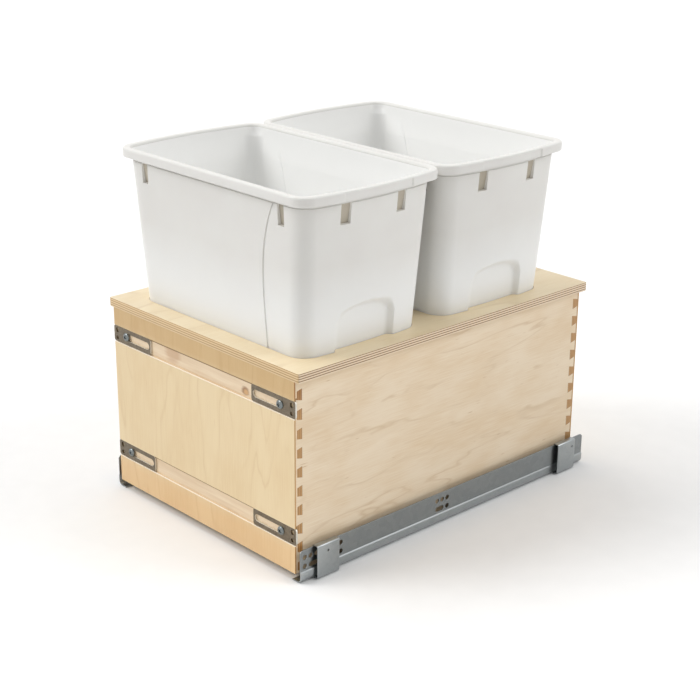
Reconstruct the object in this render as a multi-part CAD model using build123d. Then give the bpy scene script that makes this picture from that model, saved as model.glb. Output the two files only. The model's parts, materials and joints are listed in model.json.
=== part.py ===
from build123d import *
import os
from math import radians, sqrt, tan

# A pull-out waste bin for a kitchen base cabinet. A dovetailed plywood box rides on a pair of concealed
# full-extension slides and carries two tapered bins, which drop into the cut-outs of its top panel.
# Sizes are in millimetres. X runs across the cabinet, the door side faces -Y, and Z is up.
# The origin lies on the cabinet floor, midway across the unit and midway from its front to its back.

# Box of plywood boards
opening_width = 381.0          # clear width of the cabinet opening
slide_allowance = 42.0         # opening width less the inside width of the box
board = 12.0                   # thickness of the four box boards
box_height = 250.0
box_lift = 11.0                # underside of the box above the cabinet floor
bottom_thickness = 6.0
bottom_recess = 13.0           # room under the bottom panel for the slides
groove_depth = 6.0
groove_play = 0.4              # free space at the end of the groove

# Half-blind dovetails
lap = 2.5                      # wood left in front of the tails
pin_height = 12.5              # at half the length of the pin
pin_pitch = 24.8
first_pin_drop = 18.0          # top edge of the box to the centre of the first pin
dovetail_angle = 14.0

# Top panel
top_thickness = 12.0
top_side_overhang = 8.5
top_front_overhang = 0.5
top_rear_overhang = 5.5
top_corner_radius = 3.0
cut_out_radius = 28.0
cut_out_play = 1.5             # around the bin where it passes the panel
dowel_diameter = 5.0
dowel_length = 16.0
dowel_end_margin = 45.0        # first and last dowel from the ends of each side board
dowels_per_side = 4

# Channels and brackets for the cabinet door
channel_depth = 3.0
channel_height = 23.0
upper_channel_drop = 35.5      # top edge of the box to the middle of the upper channel
lower_channel_rise = 49.0      # bottom edge of the box to the middle of the lower channel
bracket_length = 81.0
bracket_height = 22.0
bracket_thickness = 2.5
bracket_proud = 1.7            # outer end of the bracket past the side of the box
bracket_corner_radius = 3.0
bracket_slot_length = 54.0
bracket_slot_height = 8.0
bracket_slot_margin = 3.2      # inner end of the bracket to the slot
bracket_hole_diameter = 4.5
bracket_hole_spacing = 11.6
bracket_hole_margin = 7.0      # outer end of the bracket to the holes
bracket_play = 0.05
bracket_screw_diameter = 4.0
bracket_screw_depth = 8.0
screw_head_diameter = 11.5
screw_head_height = 2.6
screw_recess_width = 1.3
screw_recess_length = 5.4
screw_recess_depth = 1.4

# Bins
bin_height = 445.0
bin_wall = 2.5
bin_floor = 3.0
bin_seat_gap = 0.1
rim_side_margin = 1.0          # rim to the side edges of the top panel
bin_rear_margin = 39.5         # last rim to the back of the box
rim_bow = 10.4                 # how far each short end bulges
rim_corner_radius = 26.0
rim_drop = 14.0
rim_wall = 2.2
rim_edge_radius = 1.6
mouth_inset = 6.0              # outside of the rim to the outside of the wall, at the top
neck_inset = 10.0              # the same at the underside of the rim
end_taper = 46.0               # how far each short end leans in from the rim to the base
side_taper = 28.5              # the same for each long side
base_bow = 1.0
base_corner_radius = 24.0
bin_setback = 14.0             # front of the box to the first rim
rim_gap = 2.5                  # between the two rims
notch_height = 28.0
notch_depth = 3.5
notch_head = 4.0               # how far the notches run up inside the rim
end_notch_width = 14.0
end_notch_margin = 70.5        # long side of the rim to the nearest notch of a short end
side_notch_width = 10.5
side_notch_margin = 57.0       # short end of the rim to the nearest notch of a long side
grip_width = 92.0
grip_rise = 296.0              # base of the bin to the crown of the recess in each short end
grip_crown = 9.0
grip_depth = 4.0

# Cabinet rails
rail_length = 533.4
rail_overrun = 15.4            # length of the rails less the depth of the box
rail_setback = 1.3             # front of the box to the front of the rails
rail_sheet = 1.5
web_height = 44.0
web_corner_radius = 5.0
step_height = 13.5             # where the web steps out
step_size = 0.9
step_rise = 1.6
rail_bend = 5.0                # inside radius of the lower corner
foot_reach = 46.0              # how far the foot of the rail runs in under the box
rail_hole_diameter = 5.0
rail_hole_row = 21.5           # lower row of holes above the floor
rail_hole_spacing = 12.0       # between the two rows
front_hole_margin = 7.5        # front of the rail to the first holes
middle_hole_margin = 255.0     # front of the rail to the middle pair of holes
hole_step = 8.5                # between neighbouring holes of a group
rear_of_clip_margin = 66.2     # front of the rail to the pair of holes behind the front clip
rail_slot_length = 12.0

# Spacer clips
clip_sheet = 1.2
clip_length = 36.0
clip_reach = 5.5               # outer face of the clip past the widest part of the rail
clip_lip = 6.0
clip_floor_gap = 0.6
front_clip_margin = 22.2       # front of the rail to the front clip
rear_clip_margin = 23.7        # back of the rail to the rear clip
clip_hole_diameter = 3.0
clip_hole_drop = 9.0
front_clip_hole = 17.7         # front end of the clip to its hole
rear_clip_hole = 30.0

# Telescopic slide, one behind each side board
slide_inset = 14.5             # inside of the side board to the middle of the slide
track_sheet = 1.4
track_foot_width = 10.0
track_foot_thickness = 1.2
track_head_width = 11.0
track_head_rise = 8.0          # underside of the track head above the cabinet floor
track_margin = 6.0             # front of the rail to the track
track_end_margin = 27.4        # back of the rail to the track
middle_inside_width = 15.8
middle_sheet = 1.1
middle_end_margin = 46.7       # back of the rail to the middle rail
middle_margin = 6.0            # inside of the front board to the middle rail
runner_inside_width = 16.8
runner_sheet = 1.2
runner_margin = 2.0            # inside of the front board to the runner
runner_lip_gap = 0.6           # runner lips above the middle rail
lip_reach = 4.6                # how far the lips turn in
lower_roller_diameter = 3.3
roller_play = 0.1
carriage_play = 0.3
lower_carriage_length = 200.0
upper_carriage_length = 220.0
rollers_per_carriage = 8
roller_length = 8.0
pocket_play = 0.3
middle_lip_gap = 2.2           # lips of the middle rail to the track head
middle_neck = 3.2              # height of the neck that carries the head of the middle rail

# Hook at the back of each runner
notch_width = 29.5             # cut in the lower corners of the back board
hook_sheet = 2.0
hook_gap = 0.5
hook_width = 10.0
hook_rise = 16.0               # top of the runner to the top of the hook
hook_pin_rise = 11.0
hook_pin_diameter = 5.6
hook_pin_length = 9.0
hook_hole_diameter = 6.0

# Soft-closing unit under each side board, at the back of the rail
closer_width = 16.5
closer_wall = 1.2
closer_headroom = 1.0          # under the side board
closer_end_margin = 8.0        # back end of the rail to the unit
closer_side_gap = 2.4          # runner to the unit
closer_travel = 45.0
damper_diameter = 5.2
damper_length = 70.0
damper_bore_depth = 62.0
rod_diameter = 2.0
rod_running_play = 0.05
rod_overlap = 58.0             # rod inside the damper when the drawer is shut
spring_diameter = 4.0
spring_wire = 0.6
spring_turns = 40
trolley_length = 20.0
trolley_width = 4.6
trolley_arm = 4.0
trolley_play = 0.3
horn_reach = 2.0               # trolley out through the slot towards the runner
catch_length = 8.0
catch_gap = 0.4                # catch above the horn of the trolley

# Locking device under each front corner of the box
lock_width = 25.0
lock_length = 55.0
lock_height = 12.0
lock_gap = 2.4                 # runner to the locking device
lever_thickness = 3.0
lever_width = 6.0
lever_front = 24.0             # handle end of the lever ahead of its pivot
lever_rear = 20.0              # tooth end of the lever behind its pivot
lever_play = 0.3
pivot_diameter = 4.0
pivot_running_play = 0.05
tooth_length = 6.0
tooth_entry = 1.0              # tooth through the wall of the runner
window_play = 1.2
lock_screw_diameter = 3.5
lock_screw_depth = 7.0
lock_screw_head = 7.0
lock_screw_head_height = 2.0
lock_lug = 3.0

# Faces that the pieces share
box_width = opening_width - slide_allowance + 2 * board
box_depth = rail_length - rail_overrun
side_out = box_width / 2
side_in = side_out - board
head_proud = screw_head_height + bracket_thickness + 2 * bracket_play - channel_depth
front_y = -(rail_setback + rail_length - head_proud) / 2
back_y = front_y + box_depth
front_in_y = front_y + board
back_in_y = back_y - board
box_bottom_z = box_lift
box_top_z = box_lift + box_height
slide_top_z = box_bottom_z + bottom_recess
floor_z = slide_top_z + bottom_thickness
panel_top_z = box_top_z + top_thickness
rail_y = front_y + rail_setback
rail_end_y = rail_y + rail_length
slide_x = side_in - slide_inset
bin_base_z = floor_z + bin_seat_gap
bin_top_z = bin_base_z + bin_height
rim_length = box_width + 2 * (top_side_overhang - rim_side_margin)
rim_width = (box_depth - bin_setback - rim_gap - bin_rear_margin) / 2
base_length = rim_length - 2 * end_taper
base_width = rim_width - 2 * side_taper
end_notch_offset = rim_width / 2 - end_notch_margin
side_notch_offset = rim_length / 2 - side_notch_margin


def block(x0, x1, y0, y1, z0, z1):
    """A plain box between two corners."""
    return Pos((x0 + x1) / 2, (y0 + y1) / 2, (z0 + z1) / 2) * Box(x1 - x0, y1 - y0, z1 - z0)


def rod_x(x0, x1, y, z, diameter):
    """A round bar along X."""
    return Pos((x0 + x1) / 2, y, z) * Rot(0, 90, 0) * Cylinder(diameter / 2, x1 - x0)


def rod_y(x, y0, y1, z, diameter):
    """A round bar along Y."""
    return Pos(x, (y0 + y1) / 2, z) * Rot(90, 0, 0) * Cylinder(diameter / 2, y1 - y0)


def rod_z(x, y, z0, z1, diameter):
    """A round bar along Z."""
    return Pos(x, y, (z0 + z1) / 2) * Cylinder(diameter / 2, z1 - z0)


def both_sides(shape):
    """A shape together with its mirror image across the middle of the unit."""
    return shape + mirror(shape, about=Plane.YZ)


def save(name, shape):
    """Writes one piece to its own file."""
    export_step(shape, f"parts/{name}.step")


def save_pair(name, shape):
    """Writes the right-hand piece and its left-hand mirror image."""
    save(f"{name}_right", shape)
    save(f"{name}_left", mirror(shape, about=Plane.YZ))


def save_set(name, shapes):
    """Writes a set of right-hand pieces and their mirror images to one file."""
    save(name, Compound(children=shapes + [mirror(shape, about=Plane.YZ) for shape in shapes]))


# Plywood box

def pin_heights():
    """Heights of the dovetail pins, from the top edge of the box down."""
    count = int((box_height - first_pin_drop - pin_height / 2) / pin_pitch) + 1
    return [box_top_z - first_pin_drop - k * pin_pitch for k in range(count)]


def corner_pins(face_y, inward):
    """The pins of one board at the right-hand corner, narrow at the lap and wide at the inside."""
    flare = (board - lap) / 2 * tan(radians(dovetail_angle))
    narrow = pin_height / 2 - flare
    wide = pin_height / 2 + flare
    lap_y = face_y + inward * lap
    root_y = face_y + inward * board
    pins = []
    for z in pin_heights():
        outline = make_face(Polyline((lap_y, z - narrow), (lap_y, z + narrow),
                                     (root_y, z + wide), (root_y, z - wide), close=True))
        pins.append(extrude(Plane.YZ.offset(side_in) * outline, board))
    return pins


def channel(z):
    """The channel that is routed across the front for a pair of door brackets."""
    half = channel_height / 2
    return block(-side_out, side_out, front_y, front_y + channel_depth, z - half, z + half)


def bottom_panel_with(play):
    """The bottom panel in its grooves, short of the ends of the grooves by the given play."""
    x = side_in + groove_depth - play
    y0 = front_in_y - groove_depth + play
    y1 = back_in_y + groove_depth - play
    return block(-x, x, y0, y1, slide_top_z, floor_z)


def pin_board(face_y, inward):
    """A front or back board: a plain board with its corners cut away to the pins."""
    y0, y1 = sorted((face_y, face_y + inward * board))
    t0, t1 = sorted((face_y + inward * lap, face_y + inward * board))
    shape = block(-side_out, side_out, y0, y1, box_bottom_z, box_top_z)
    shape -= both_sides(block(side_in, side_out, t0, t1, box_bottom_z, box_top_z))
    pins = corner_pins(face_y, inward)
    for pin in pins:
        shape += pin
        shape += mirror(pin, about=Plane.YZ)
    return shape - groove


def tail_board():
    """The right-hand side board, whose tails fill the spaces between the pins."""
    shape = block(side_in, side_out, front_y + lap, back_y - lap, box_bottom_z, box_top_z)
    for pin in corner_pins(front_y, 1) + corner_pins(back_y, -1):
        shape -= pin
    for z in (upper_channel_z, lower_channel_z):
        shape -= channel(z)
    for y in dowel_places:
        shape -= dowel(y)
    return shape - groove


def dowel(y):
    """A dowel between the right-hand side board and the top panel."""
    return rod_z(side_out - board / 2, y, box_top_z - dowel_length / 2, box_top_z + dowel_length / 2,
                 dowel_diameter)


upper_channel_z = box_top_z - upper_channel_drop
lower_channel_z = box_bottom_z + lower_channel_rise
groove = bottom_panel_with(0)
dowel_span = box_depth - 2 * dowel_end_margin
dowel_places = [front_y + dowel_end_margin + k * dowel_span / (dowels_per_side - 1)
                for k in range(dowels_per_side)]


# Bins

neck_z = bin_top_z - rim_drop


def bin_outline(length, width, bow, radius):
    """Straight long sides, bowed short ends and rounded corners."""
    corner_x = length / 2 - bow
    half = width / 2
    outline = Line((-corner_x, -half), (corner_x, -half))
    outline += ThreePointArc((corner_x, -half), (length / 2, 0), (corner_x, half))
    outline += Line((corner_x, half), (-corner_x, half))
    outline += ThreePointArc((-corner_x, half), (-length / 2, 0), (-corner_x, -half))
    face = make_face(outline)
    return fillet(face.vertices(), radius)


def body_size(z):
    """Outside length, width, bow and corner radius at a height: a long taper, then a flared mouth."""
    base = (base_length, base_width, base_bow, base_corner_radius)
    neck = (rim_length - 2 * neck_inset, rim_width - 2 * neck_inset, rim_bow, rim_corner_radius)
    mouth = (rim_length - 2 * mouth_inset, rim_width - 2 * mouth_inset, rim_bow, rim_corner_radius)
    if z <= neck_z:
        share = (z - bin_base_z) / (neck_z - bin_base_z)
        return [low + share * (high - low) for low, high in zip(base, neck)]
    share = (z - neck_z) / rim_drop
    return [low + share * (high - low) for low, high in zip(neck, mouth)]


def section(z, inset):
    """The outline of the body at a height, smaller than its outside by the inset all round."""
    length, width, bow, radius = body_size(z)
    return Pos(0, 0, z) * bin_outline(length - 2 * inset, width - 2 * inset, bow, radius - inset)


def body(low_z, inset):
    """The body from a height up to the mouth, smaller than its outside by the inset all round."""
    return loft([section(z, inset) for z in (low_z, neck_z, bin_top_z)], ruled=True)


def end_slope_x(z):
    """Half the outside length of the body at a height, at the middle of a short end."""
    return body_size(z)[0] / 2


def grip_tool(depth, margin):
    """An arched block sunk into the right-hand end by a depth, larger than the recess by a margin."""
    low_z = bin_base_z - 1
    crown_z = bin_base_z + grip_rise + margin
    spring_z = crown_z - grip_crown
    half = grip_width / 2 + margin
    outline = Polyline((-half, spring_z), (-half, low_z), (half, low_z), (half, spring_z))
    outline += ThreePointArc((half, spring_z), (0, crown_z), (-half, spring_z))
    arch = extrude(Plane.YZ * make_face(outline), rim_length)
    slope = Polyline((end_slope_x(low_z) - depth, low_z), (end_slope_x(neck_z) - depth, neck_z),
                     (rim_length, neck_z), (rim_length, low_z), close=True)
    return arch & extrude(Plane.XZ * make_face(slope), rim_width, both=True)


def notch_blocks(depth, margin):
    """Blocks for the eight notches under the rim, let in by a depth and larger by a margin."""
    low_z = neck_z - notch_height - margin
    top_z = neck_z + notch_head
    length, width, bow, radius = body_size(low_z)
    x_in = length / 2 - depth - bow * (2 * end_notch_offset / width) ** 2
    y_in = width / 2 - depth
    half_x = side_notch_width / 2 + margin
    half_y = end_notch_width / 2 + margin
    blocks = []
    for side in (-1, 1):
        y = side * end_notch_offset
        end = block(x_in, rim_length, y - half_y, y + half_y, low_z, top_z)
        x = side * side_notch_offset
        flank = block(x - half_x, x + half_x, y_in, rim_width, low_z, top_z)
        blocks += [end, mirror(end, about=Plane.YZ), flank, mirror(flank, about=Plane.XZ)]
    return blocks


def rim_band():
    """The turned-down rim: a rounded band, hollow from below."""
    outline = bin_outline(rim_length, rim_width, rim_bow, rim_corner_radius)
    band = Pos(0, 0, neck_z) * extrude(outline, rim_drop)
    band = fillet(band.faces().sort_by(Axis.Z)[-1].edges(), rim_edge_radius)
    under = bin_outline(rim_length - 2 * rim_wall, rim_width - 2 * rim_wall, rim_bow,
                        rim_corner_radius - rim_wall)
    return band - Pos(0, 0, neck_z) * extrude(under, rim_drop - rim_wall)


def waste_bin():
    """One bin: a tapered shell with a turned-down rim, notches under the rim and sunk grips."""
    outside = body(bin_base_z, 0)
    hollow = body(bin_base_z + bin_floor, bin_wall)
    grip = grip_tool(grip_depth, 0)
    outside -= grip
    outside -= mirror(grip, about=Plane.YZ)
    backing = grip_tool(grip_depth + bin_wall, bin_wall)
    hollow -= backing
    hollow -= mirror(backing, about=Plane.YZ)
    for notch in notch_blocks(notch_depth, 0):
        outside -= notch
    for boss in notch_blocks(notch_depth + bin_wall, bin_wall):
        hollow -= boss
    return (outside + rim_band()) - hollow


bin_front_y = front_y + bin_setback + rim_width / 2
bin_rear_y = bin_front_y + rim_width + rim_gap

# Top panel and the box

def top_panel():
    """The top panel, with a cut-out for each bin and blind holes for the dowels."""
    y0 = front_y - top_front_overhang
    y1 = back_y + top_rear_overhang
    plate = RectangleRounded(2 * (side_out + top_side_overhang), y1 - y0, top_corner_radius)
    shape = Pos(0, (y0 + y1) / 2, box_top_z) * extrude(plate, top_thickness)
    length, width, bow, radius = body_size(panel_top_z)
    cut = RectangleRounded(length + 2 * cut_out_play, width + 2 * cut_out_play, cut_out_radius)
    for y in (bin_front_y, bin_rear_y):
        shape -= Pos(0, y, box_top_z) * extrude(cut, top_thickness)
    for y in dowel_places:
        shape -= both_sides(dowel(y))
    return shape


def front_panel():
    """The front board, with its channels and the pilot holes of the bracket and lock screws."""
    shape = pin_board(front_y, 1)
    for z in (upper_channel_z, lower_channel_z):
        shape -= channel(z)
        shape -= both_sides(bracket_screw_shank(z))
    for x in lock_screw_places:
        shape -= both_sides(lock_screw_shank(x))
    return shape


def back_panel():
    """The back board, notched for the slides and bored for the hooks of the runners."""
    shape = pin_board(back_y, -1)
    notch = block(side_in - notch_width, side_in, back_in_y, back_y, box_bottom_z, slide_top_z)
    hole = rod_y(slide_x, back_in_y, back_y, slide_top_z + hook_pin_rise, hook_hole_diameter)
    return shape - both_sides(notch) - both_sides(hole)


# Door brackets

bracket_out = side_out + bracket_proud
bracket_back_y = front_y + channel_depth - bracket_play
bracket_front_y = bracket_back_y - bracket_thickness
slot_in = bracket_out - bracket_length + bracket_slot_margin
slot_out = slot_in + bracket_slot_length
bracket_screw_x = slot_out - bracket_slot_height / 2


def on_front(shape, x, z):
    """A flat shape, drawn in X and Z, raised to the thickness of a bracket in its channel."""
    return Pos(x, bracket_back_y, z) * extrude(Plane.XZ * shape, bracket_thickness)


def door_bracket(z):
    """A flat bracket at the right of a channel, slotted for its screw and drilled for the door."""
    middle = bracket_out - bracket_length / 2
    shape = on_front(RectangleRounded(bracket_length, bracket_height, bracket_corner_radius), middle, z)
    shape -= on_front(SlotOverall(bracket_slot_length, bracket_slot_height), (slot_in + slot_out) / 2, z)
    for side in (-1, 1):
        hole_z = z + side * bracket_hole_spacing / 2
        shape -= on_front(Circle(bracket_hole_diameter / 2), bracket_out - bracket_hole_margin, hole_z)
    return shape


def bracket_screw_shank(z):
    """The shank of a bracket screw, from its head into the front board."""
    end_y = front_y + channel_depth + bracket_screw_depth
    return rod_y(bracket_screw_x, bracket_front_y - bracket_play, end_y, z, bracket_screw_diameter)


def bracket_screw(z):
    """A pan-head screw with a cross recess."""
    head_y = bracket_front_y - bracket_play
    head = rod_y(bracket_screw_x, head_y - screw_head_height, head_y, z, screw_head_diameter)
    head = fillet(head.edges().filter_by(GeomType.CIRCLE).sort_by(Axis.Y)[0], screw_head_height * 0.6)
    half = screw_recess_length / 2
    thin = screw_recess_width / 2
    y0 = head_y - screw_head_height
    y1 = y0 + screw_recess_depth
    cross = block(bracket_screw_x - half, bracket_screw_x + half, y0, y1, z - thin, z + thin)
    cross += block(bracket_screw_x - thin, bracket_screw_x + thin, y0, y1, z - half, z + half)
    return head + bracket_screw_shank(z) - cross


# Cabinet rails

rail_out = opening_width / 2
web_out = rail_out - step_size
web_in = web_out - rail_sheet
foot_in = rail_out - foot_reach
rail_outer_bend = rail_bend + rail_sheet


def rail_profile():
    """Cross-section of the right-hand rail: web, outward step, rounded lower corner and foot."""
    step_top = step_height + step_rise
    outer = Line((web_out, web_height), (web_out, step_top))
    outer += Line((web_out, step_top), (rail_out, step_height))
    outer += Line((rail_out, step_height), (rail_out, rail_outer_bend))
    outer += RadiusArc((rail_out, rail_outer_bend), (rail_out - rail_outer_bend, 0), rail_outer_bend)
    outer += Line((rail_out - rail_outer_bend, 0), (foot_in, 0))
    outer += Line((foot_in, 0), (foot_in, rail_sheet))
    outer += Line((foot_in, rail_sheet), (rail_out - rail_outer_bend, rail_sheet))
    outer += RadiusArc((rail_out - rail_outer_bend, rail_sheet), (rail_out - rail_sheet, rail_outer_bend),
                       -rail_bend)
    outer += Line((rail_out - rail_sheet, rail_outer_bend), (rail_out - rail_sheet, step_height))
    outer += Line((rail_out - rail_sheet, step_height), (web_in, step_top))
    outer += Line((web_in, step_top), (web_in, web_height))
    outer += Line((web_in, web_height), (web_out, web_height))
    return make_face(outer)


def along_y(profile, y0, y1):
    """A cross-section, drawn in X and Z, run from one depth to another."""
    return Pos(0, y0, 0) * extrude(Plane.XZ * profile, -(y1 - y0))


def web_hole(margin, z):
    """A round hole through the web of the rail."""
    return rod_x(web_in - 1, web_out + 1, rail_y + margin, z, rail_hole_diameter)


def web_slot(margin, z):
    """A slot through the web of the rail."""
    slot = Plane.YZ.offset(web_in - 1) * SlotOverall(rail_slot_length, rail_hole_diameter)
    return Pos(0, rail_y + margin, z) * extrude(slot, rail_sheet + 2)


def cabinet_rail():
    """The rail that is screwed to the cabinet, with its groups of holes."""
    shape = along_y(rail_profile(), rail_y, rail_end_y)
    top_corners = shape.edges().filter_by(Axis.X).group_by(Axis.Z)[-1]
    shape = fillet(top_corners, web_corner_radius)
    low = rail_hole_row
    high = rail_hole_row + rail_hole_spacing
    for step in range(3):
        shape -= web_hole(front_hole_margin + step * hole_step, high)
        shape -= web_hole(middle_hole_margin - step * hole_step, high)
    for margin in (front_hole_margin, rear_of_clip_margin, middle_hole_margin):
        shape -= web_hole(margin, low)
    shape -= web_hole(rear_of_clip_margin, high)
    shape -= web_slot(front_hole_margin + 1.5 * hole_step, low)
    shape -= web_slot(middle_hole_margin - 1.5 * hole_step, low)
    return shape


def spacer_clip(margin, hole):
    """A clip that hooks over the web and meets the rounded corner of the rail below."""
    outer = rail_out + clip_reach
    low = clip_floor_gap
    drop = rail_outer_bend - (low + clip_sheet)
    meet = rail_out - rail_outer_bend + sqrt(rail_outer_bend ** 2 - drop ** 2)
    top = web_height + clip_sheet
    y0 = rail_y + margin
    y1 = y0 + clip_length
    shape = block(web_in - clip_sheet, outer, y0, y1, web_height, top)
    shape += block(web_in - clip_sheet, web_in, y0, y1, web_height - clip_lip, top)
    shape += block(outer - clip_sheet, outer, y0, y1, low, top)
    shape += block(meet, outer, y0, y1, low, low + clip_sheet)
    hole_z = web_height - clip_hole_drop
    return shape - rod_x(outer - clip_sheet, outer, y0 + hole, hole_z, clip_hole_diameter)


# Telescopic slide

track_top_z = track_head_rise + track_sheet
lower_gap = lower_roller_diameter + 2 * roller_play
middle_top_z = track_top_z + lower_gap + middle_sheet
middle_low_z = track_head_rise - middle_lip_gap - middle_sheet
middle_head_z = middle_top_z + middle_neck
runner_low_z = middle_top_z + runner_lip_gap
runner_half = runner_inside_width / 2 + runner_sheet
runner_y = front_in_y + runner_margin
runner_end_y = back_y + hook_gap + hook_sheet
middle_y = front_in_y + middle_margin
middle_end_y = rail_end_y - middle_end_margin
track_y = rail_y + track_margin
track_end_y = rail_end_y - track_end_margin


def bar(half_width, y0, y1, z0, z1):
    """A flat bar centred on the slide."""
    return block(slide_x - half_width, slide_x + half_width, y0, y1, z0, z1)


def hood(inside_width, sheet, y0, y1, z0, z1):
    """A channel that is open below, with lips turned in under the head that it runs on."""
    inner = inside_width / 2
    outer = inner + sheet
    shape = bar(outer, y0, y1, z0, z1)
    shape -= bar(inner, y0, y1, z0 + sheet, z1 - sheet)
    return shape - bar(inner - lip_reach, y0, y1, z0, z0 + sheet)


def cabinet_track():
    """The fixed track on the foot of the rail: foot, neck and head."""
    half = track_sheet / 2
    foot_top = rail_sheet + track_foot_thickness
    shape = bar(track_foot_width / 2, track_y, track_end_y, rail_sheet, foot_top)
    shape += bar(half, track_y, track_end_y, foot_top, track_head_rise)
    return shape + bar(track_head_width / 2, track_y, track_end_y, track_head_rise, track_top_z)


def middle_rail():
    """The rail that runs on the track and carries the runner on a head of its own."""
    shape = hood(middle_inside_width, middle_sheet, middle_y, middle_end_y, middle_low_z, middle_top_z)
    shape += bar(track_sheet / 2, middle_y, middle_end_y, middle_top_z, middle_head_z)
    return shape + bar(track_head_width / 2, middle_y, middle_end_y, middle_head_z, upper_head_z)


def drawer_runner():
    """The runner under the bottom panel, with a hook at the back and a window for the lock."""
    shape = hood(runner_inside_width, runner_sheet, runner_y, runner_end_y, runner_low_z, slide_top_z)
    hook_y = back_y + hook_gap
    shape += bar(hook_width / 2, hook_y, hook_y + hook_sheet, slide_top_z, slide_top_z + hook_rise)
    pin_z = slide_top_z + hook_pin_rise
    shape += rod_y(slide_x, hook_y - hook_pin_length, hook_y + hook_sheet, pin_z, hook_pin_diameter)
    window_x = slide_x - runner_half
    window = block(window_x, window_x + runner_sheet,
                   tooth_y - window_play, tooth_y + tooth_length + window_play,
                   lever_z - window_play, lever_z + lever_thickness + window_play)
    return shape - window


def carriage(centre_y, length, head_low, head_high, roof, lip_top, inside_width):
    """A plastic cage round a head, with a row of pockets in its roof for the rollers."""
    y0 = centre_y - length / 2
    y1 = centre_y + length / 2
    half = inside_width / 2 - carriage_play
    head_half = track_head_width / 2 + carriage_play
    foot_in_half = inside_width / 2 - lip_reach
    shape = bar(half, y0, y1, lip_top + carriage_play, roof - carriage_play)
    shape -= bar(head_half, y0, y1, head_low - carriage_play, head_high + carriage_play)
    shape -= bar(foot_in_half, y0, y1, lip_top + carriage_play, head_low - carriage_play)
    return shape


def roller_places(centre_y, length):
    """Depths of the rollers, evenly along a carriage."""
    pitch = length / rollers_per_carriage
    return [centre_y - length / 2 + (k + 0.5) * pitch for k in range(rollers_per_carriage)]


def roller_set(centre_y, length, z, diameter):
    """The rollers of one carriage."""
    half = roller_length / 2
    return [rod_x(slide_x - half, slide_x + half, y, z, diameter) for y in roller_places(centre_y, length)]


def pockets(centre_y, length, z0, z1, diameter):
    """Openings in the roof of a carriage, one round each roller."""
    half = diameter / 2 + pocket_play
    return [bar(roller_length / 2 + pocket_play, y - half, y + half, z0, z1)
            for y in roller_places(centre_y, length)]


def pocketed_carriage(centre_y, length, head_low, head_high, roof, lip_top, inside_width, diameter):
    """A carriage with its pockets cut."""
    shape = carriage(centre_y, length, head_low, head_high, roof, lip_top, inside_width)
    for pocket in pockets(centre_y, length, head_high, roof, diameter):
        shape -= pocket
    return shape


lower_carriage_y = (track_y + middle_end_y) / 2
upper_carriage_y = (middle_y + runner_end_y) / 2
lower_roof_z = middle_top_z - middle_sheet
upper_roof_z = slide_top_z - runner_sheet
upper_head_z = middle_head_z + track_sheet
upper_roller_diameter = upper_roof_z - upper_head_z - 2 * roller_play


# Soft-closing unit

closer_in = slide_x + runner_half + closer_side_gap
closer_out = closer_in + closer_width
closer_top_z = box_bottom_z - closer_headroom
closer_end_y = rail_end_y - closer_end_margin
closer_mid_z = (rail_sheet + closer_top_z) / 2
damper_end_y = closer_end_y - closer_wall
damper_y = damper_end_y - damper_length
arm_y = damper_y - trolley_play - trolley_arm
trolley_y = arm_y + trolley_arm - trolley_length
closer_y = trolley_y - closer_travel - trolley_play - closer_wall
damper_x = closer_out - closer_wall - damper_diameter / 2 - trolley_play
trolley_in = closer_in - horn_reach
trolley_out = closer_in + closer_wall + trolley_width
spring_x = (trolley_out + damper_x - damper_diameter / 2) / 2
trolley_low_z = rail_sheet + closer_wall + trolley_play
trolley_top_z = closer_top_z - closer_wall - trolley_play
catch_low_z = trolley_top_z + catch_gap


def closer_housing():
    """The housing on the foot of the rail, slotted towards the runner for the trolley."""
    wall = closer_wall
    shape = block(closer_in, closer_out, closer_y, closer_end_y, rail_sheet, closer_top_z)
    shape -= block(closer_in + wall, closer_out - wall, closer_y + wall, closer_end_y - wall,
                   rail_sheet + wall, closer_top_z - wall)
    return shape - block(closer_in, closer_in + wall, closer_y + wall, arm_y + trolley_arm + trolley_play,
                         rail_sheet + wall, closer_top_z - wall)


def closer_trolley():
    """The trolley, with an arm that pulls the spring and pushes the damper."""
    shape = block(trolley_in, trolley_out, trolley_y, arm_y + trolley_arm, trolley_low_z, trolley_top_z)
    arm_out = damper_x + damper_diameter / 2
    return shape + block(trolley_out, arm_out, arm_y, arm_y + trolley_arm, trolley_low_z, trolley_top_z)


def damper_cylinder():
    """The damper, bored for its rod."""
    shape = rod_y(damper_x, damper_y, damper_end_y, closer_mid_z, damper_diameter)
    bore = rod_diameter + 2 * rod_running_play
    return shape - rod_y(damper_x, damper_y, damper_y + damper_bore_depth, closer_mid_z, bore)


def damper_rod():
    """The rod, fixed to the arm of the trolley."""
    return rod_y(damper_x, arm_y + trolley_arm, damper_y + rod_overlap, closer_mid_z, rod_diameter)


def closing_spring():
    """The closing spring: one helical wire from the arm of the trolley to the end of the housing."""
    start = arm_y + trolley_arm + spring_wire
    length = damper_end_y - start - spring_wire
    mean = (spring_diameter - spring_wire) / 2
    middle = (spring_x, start, closer_mid_z)
    coil = Helix(length / spring_turns, length, mean, center=middle, direction=(0, 1, 0))
    wire = Plane(origin=coil @ 0, z_dir=coil % 0) * Circle(spring_wire / 2)
    return sweep(wire, path=coil, is_frenet=True)


def closing_catch():
    """The catch on the side of the runner, which meets the horn of the trolley."""
    side = slide_x + runner_half
    middle = trolley_y + trolley_length / 2
    return block(side, side + horn_reach, middle - catch_length / 2, middle + catch_length / 2,
                 catch_low_z, slide_top_z - runner_sheet)


# Locking device

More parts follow.
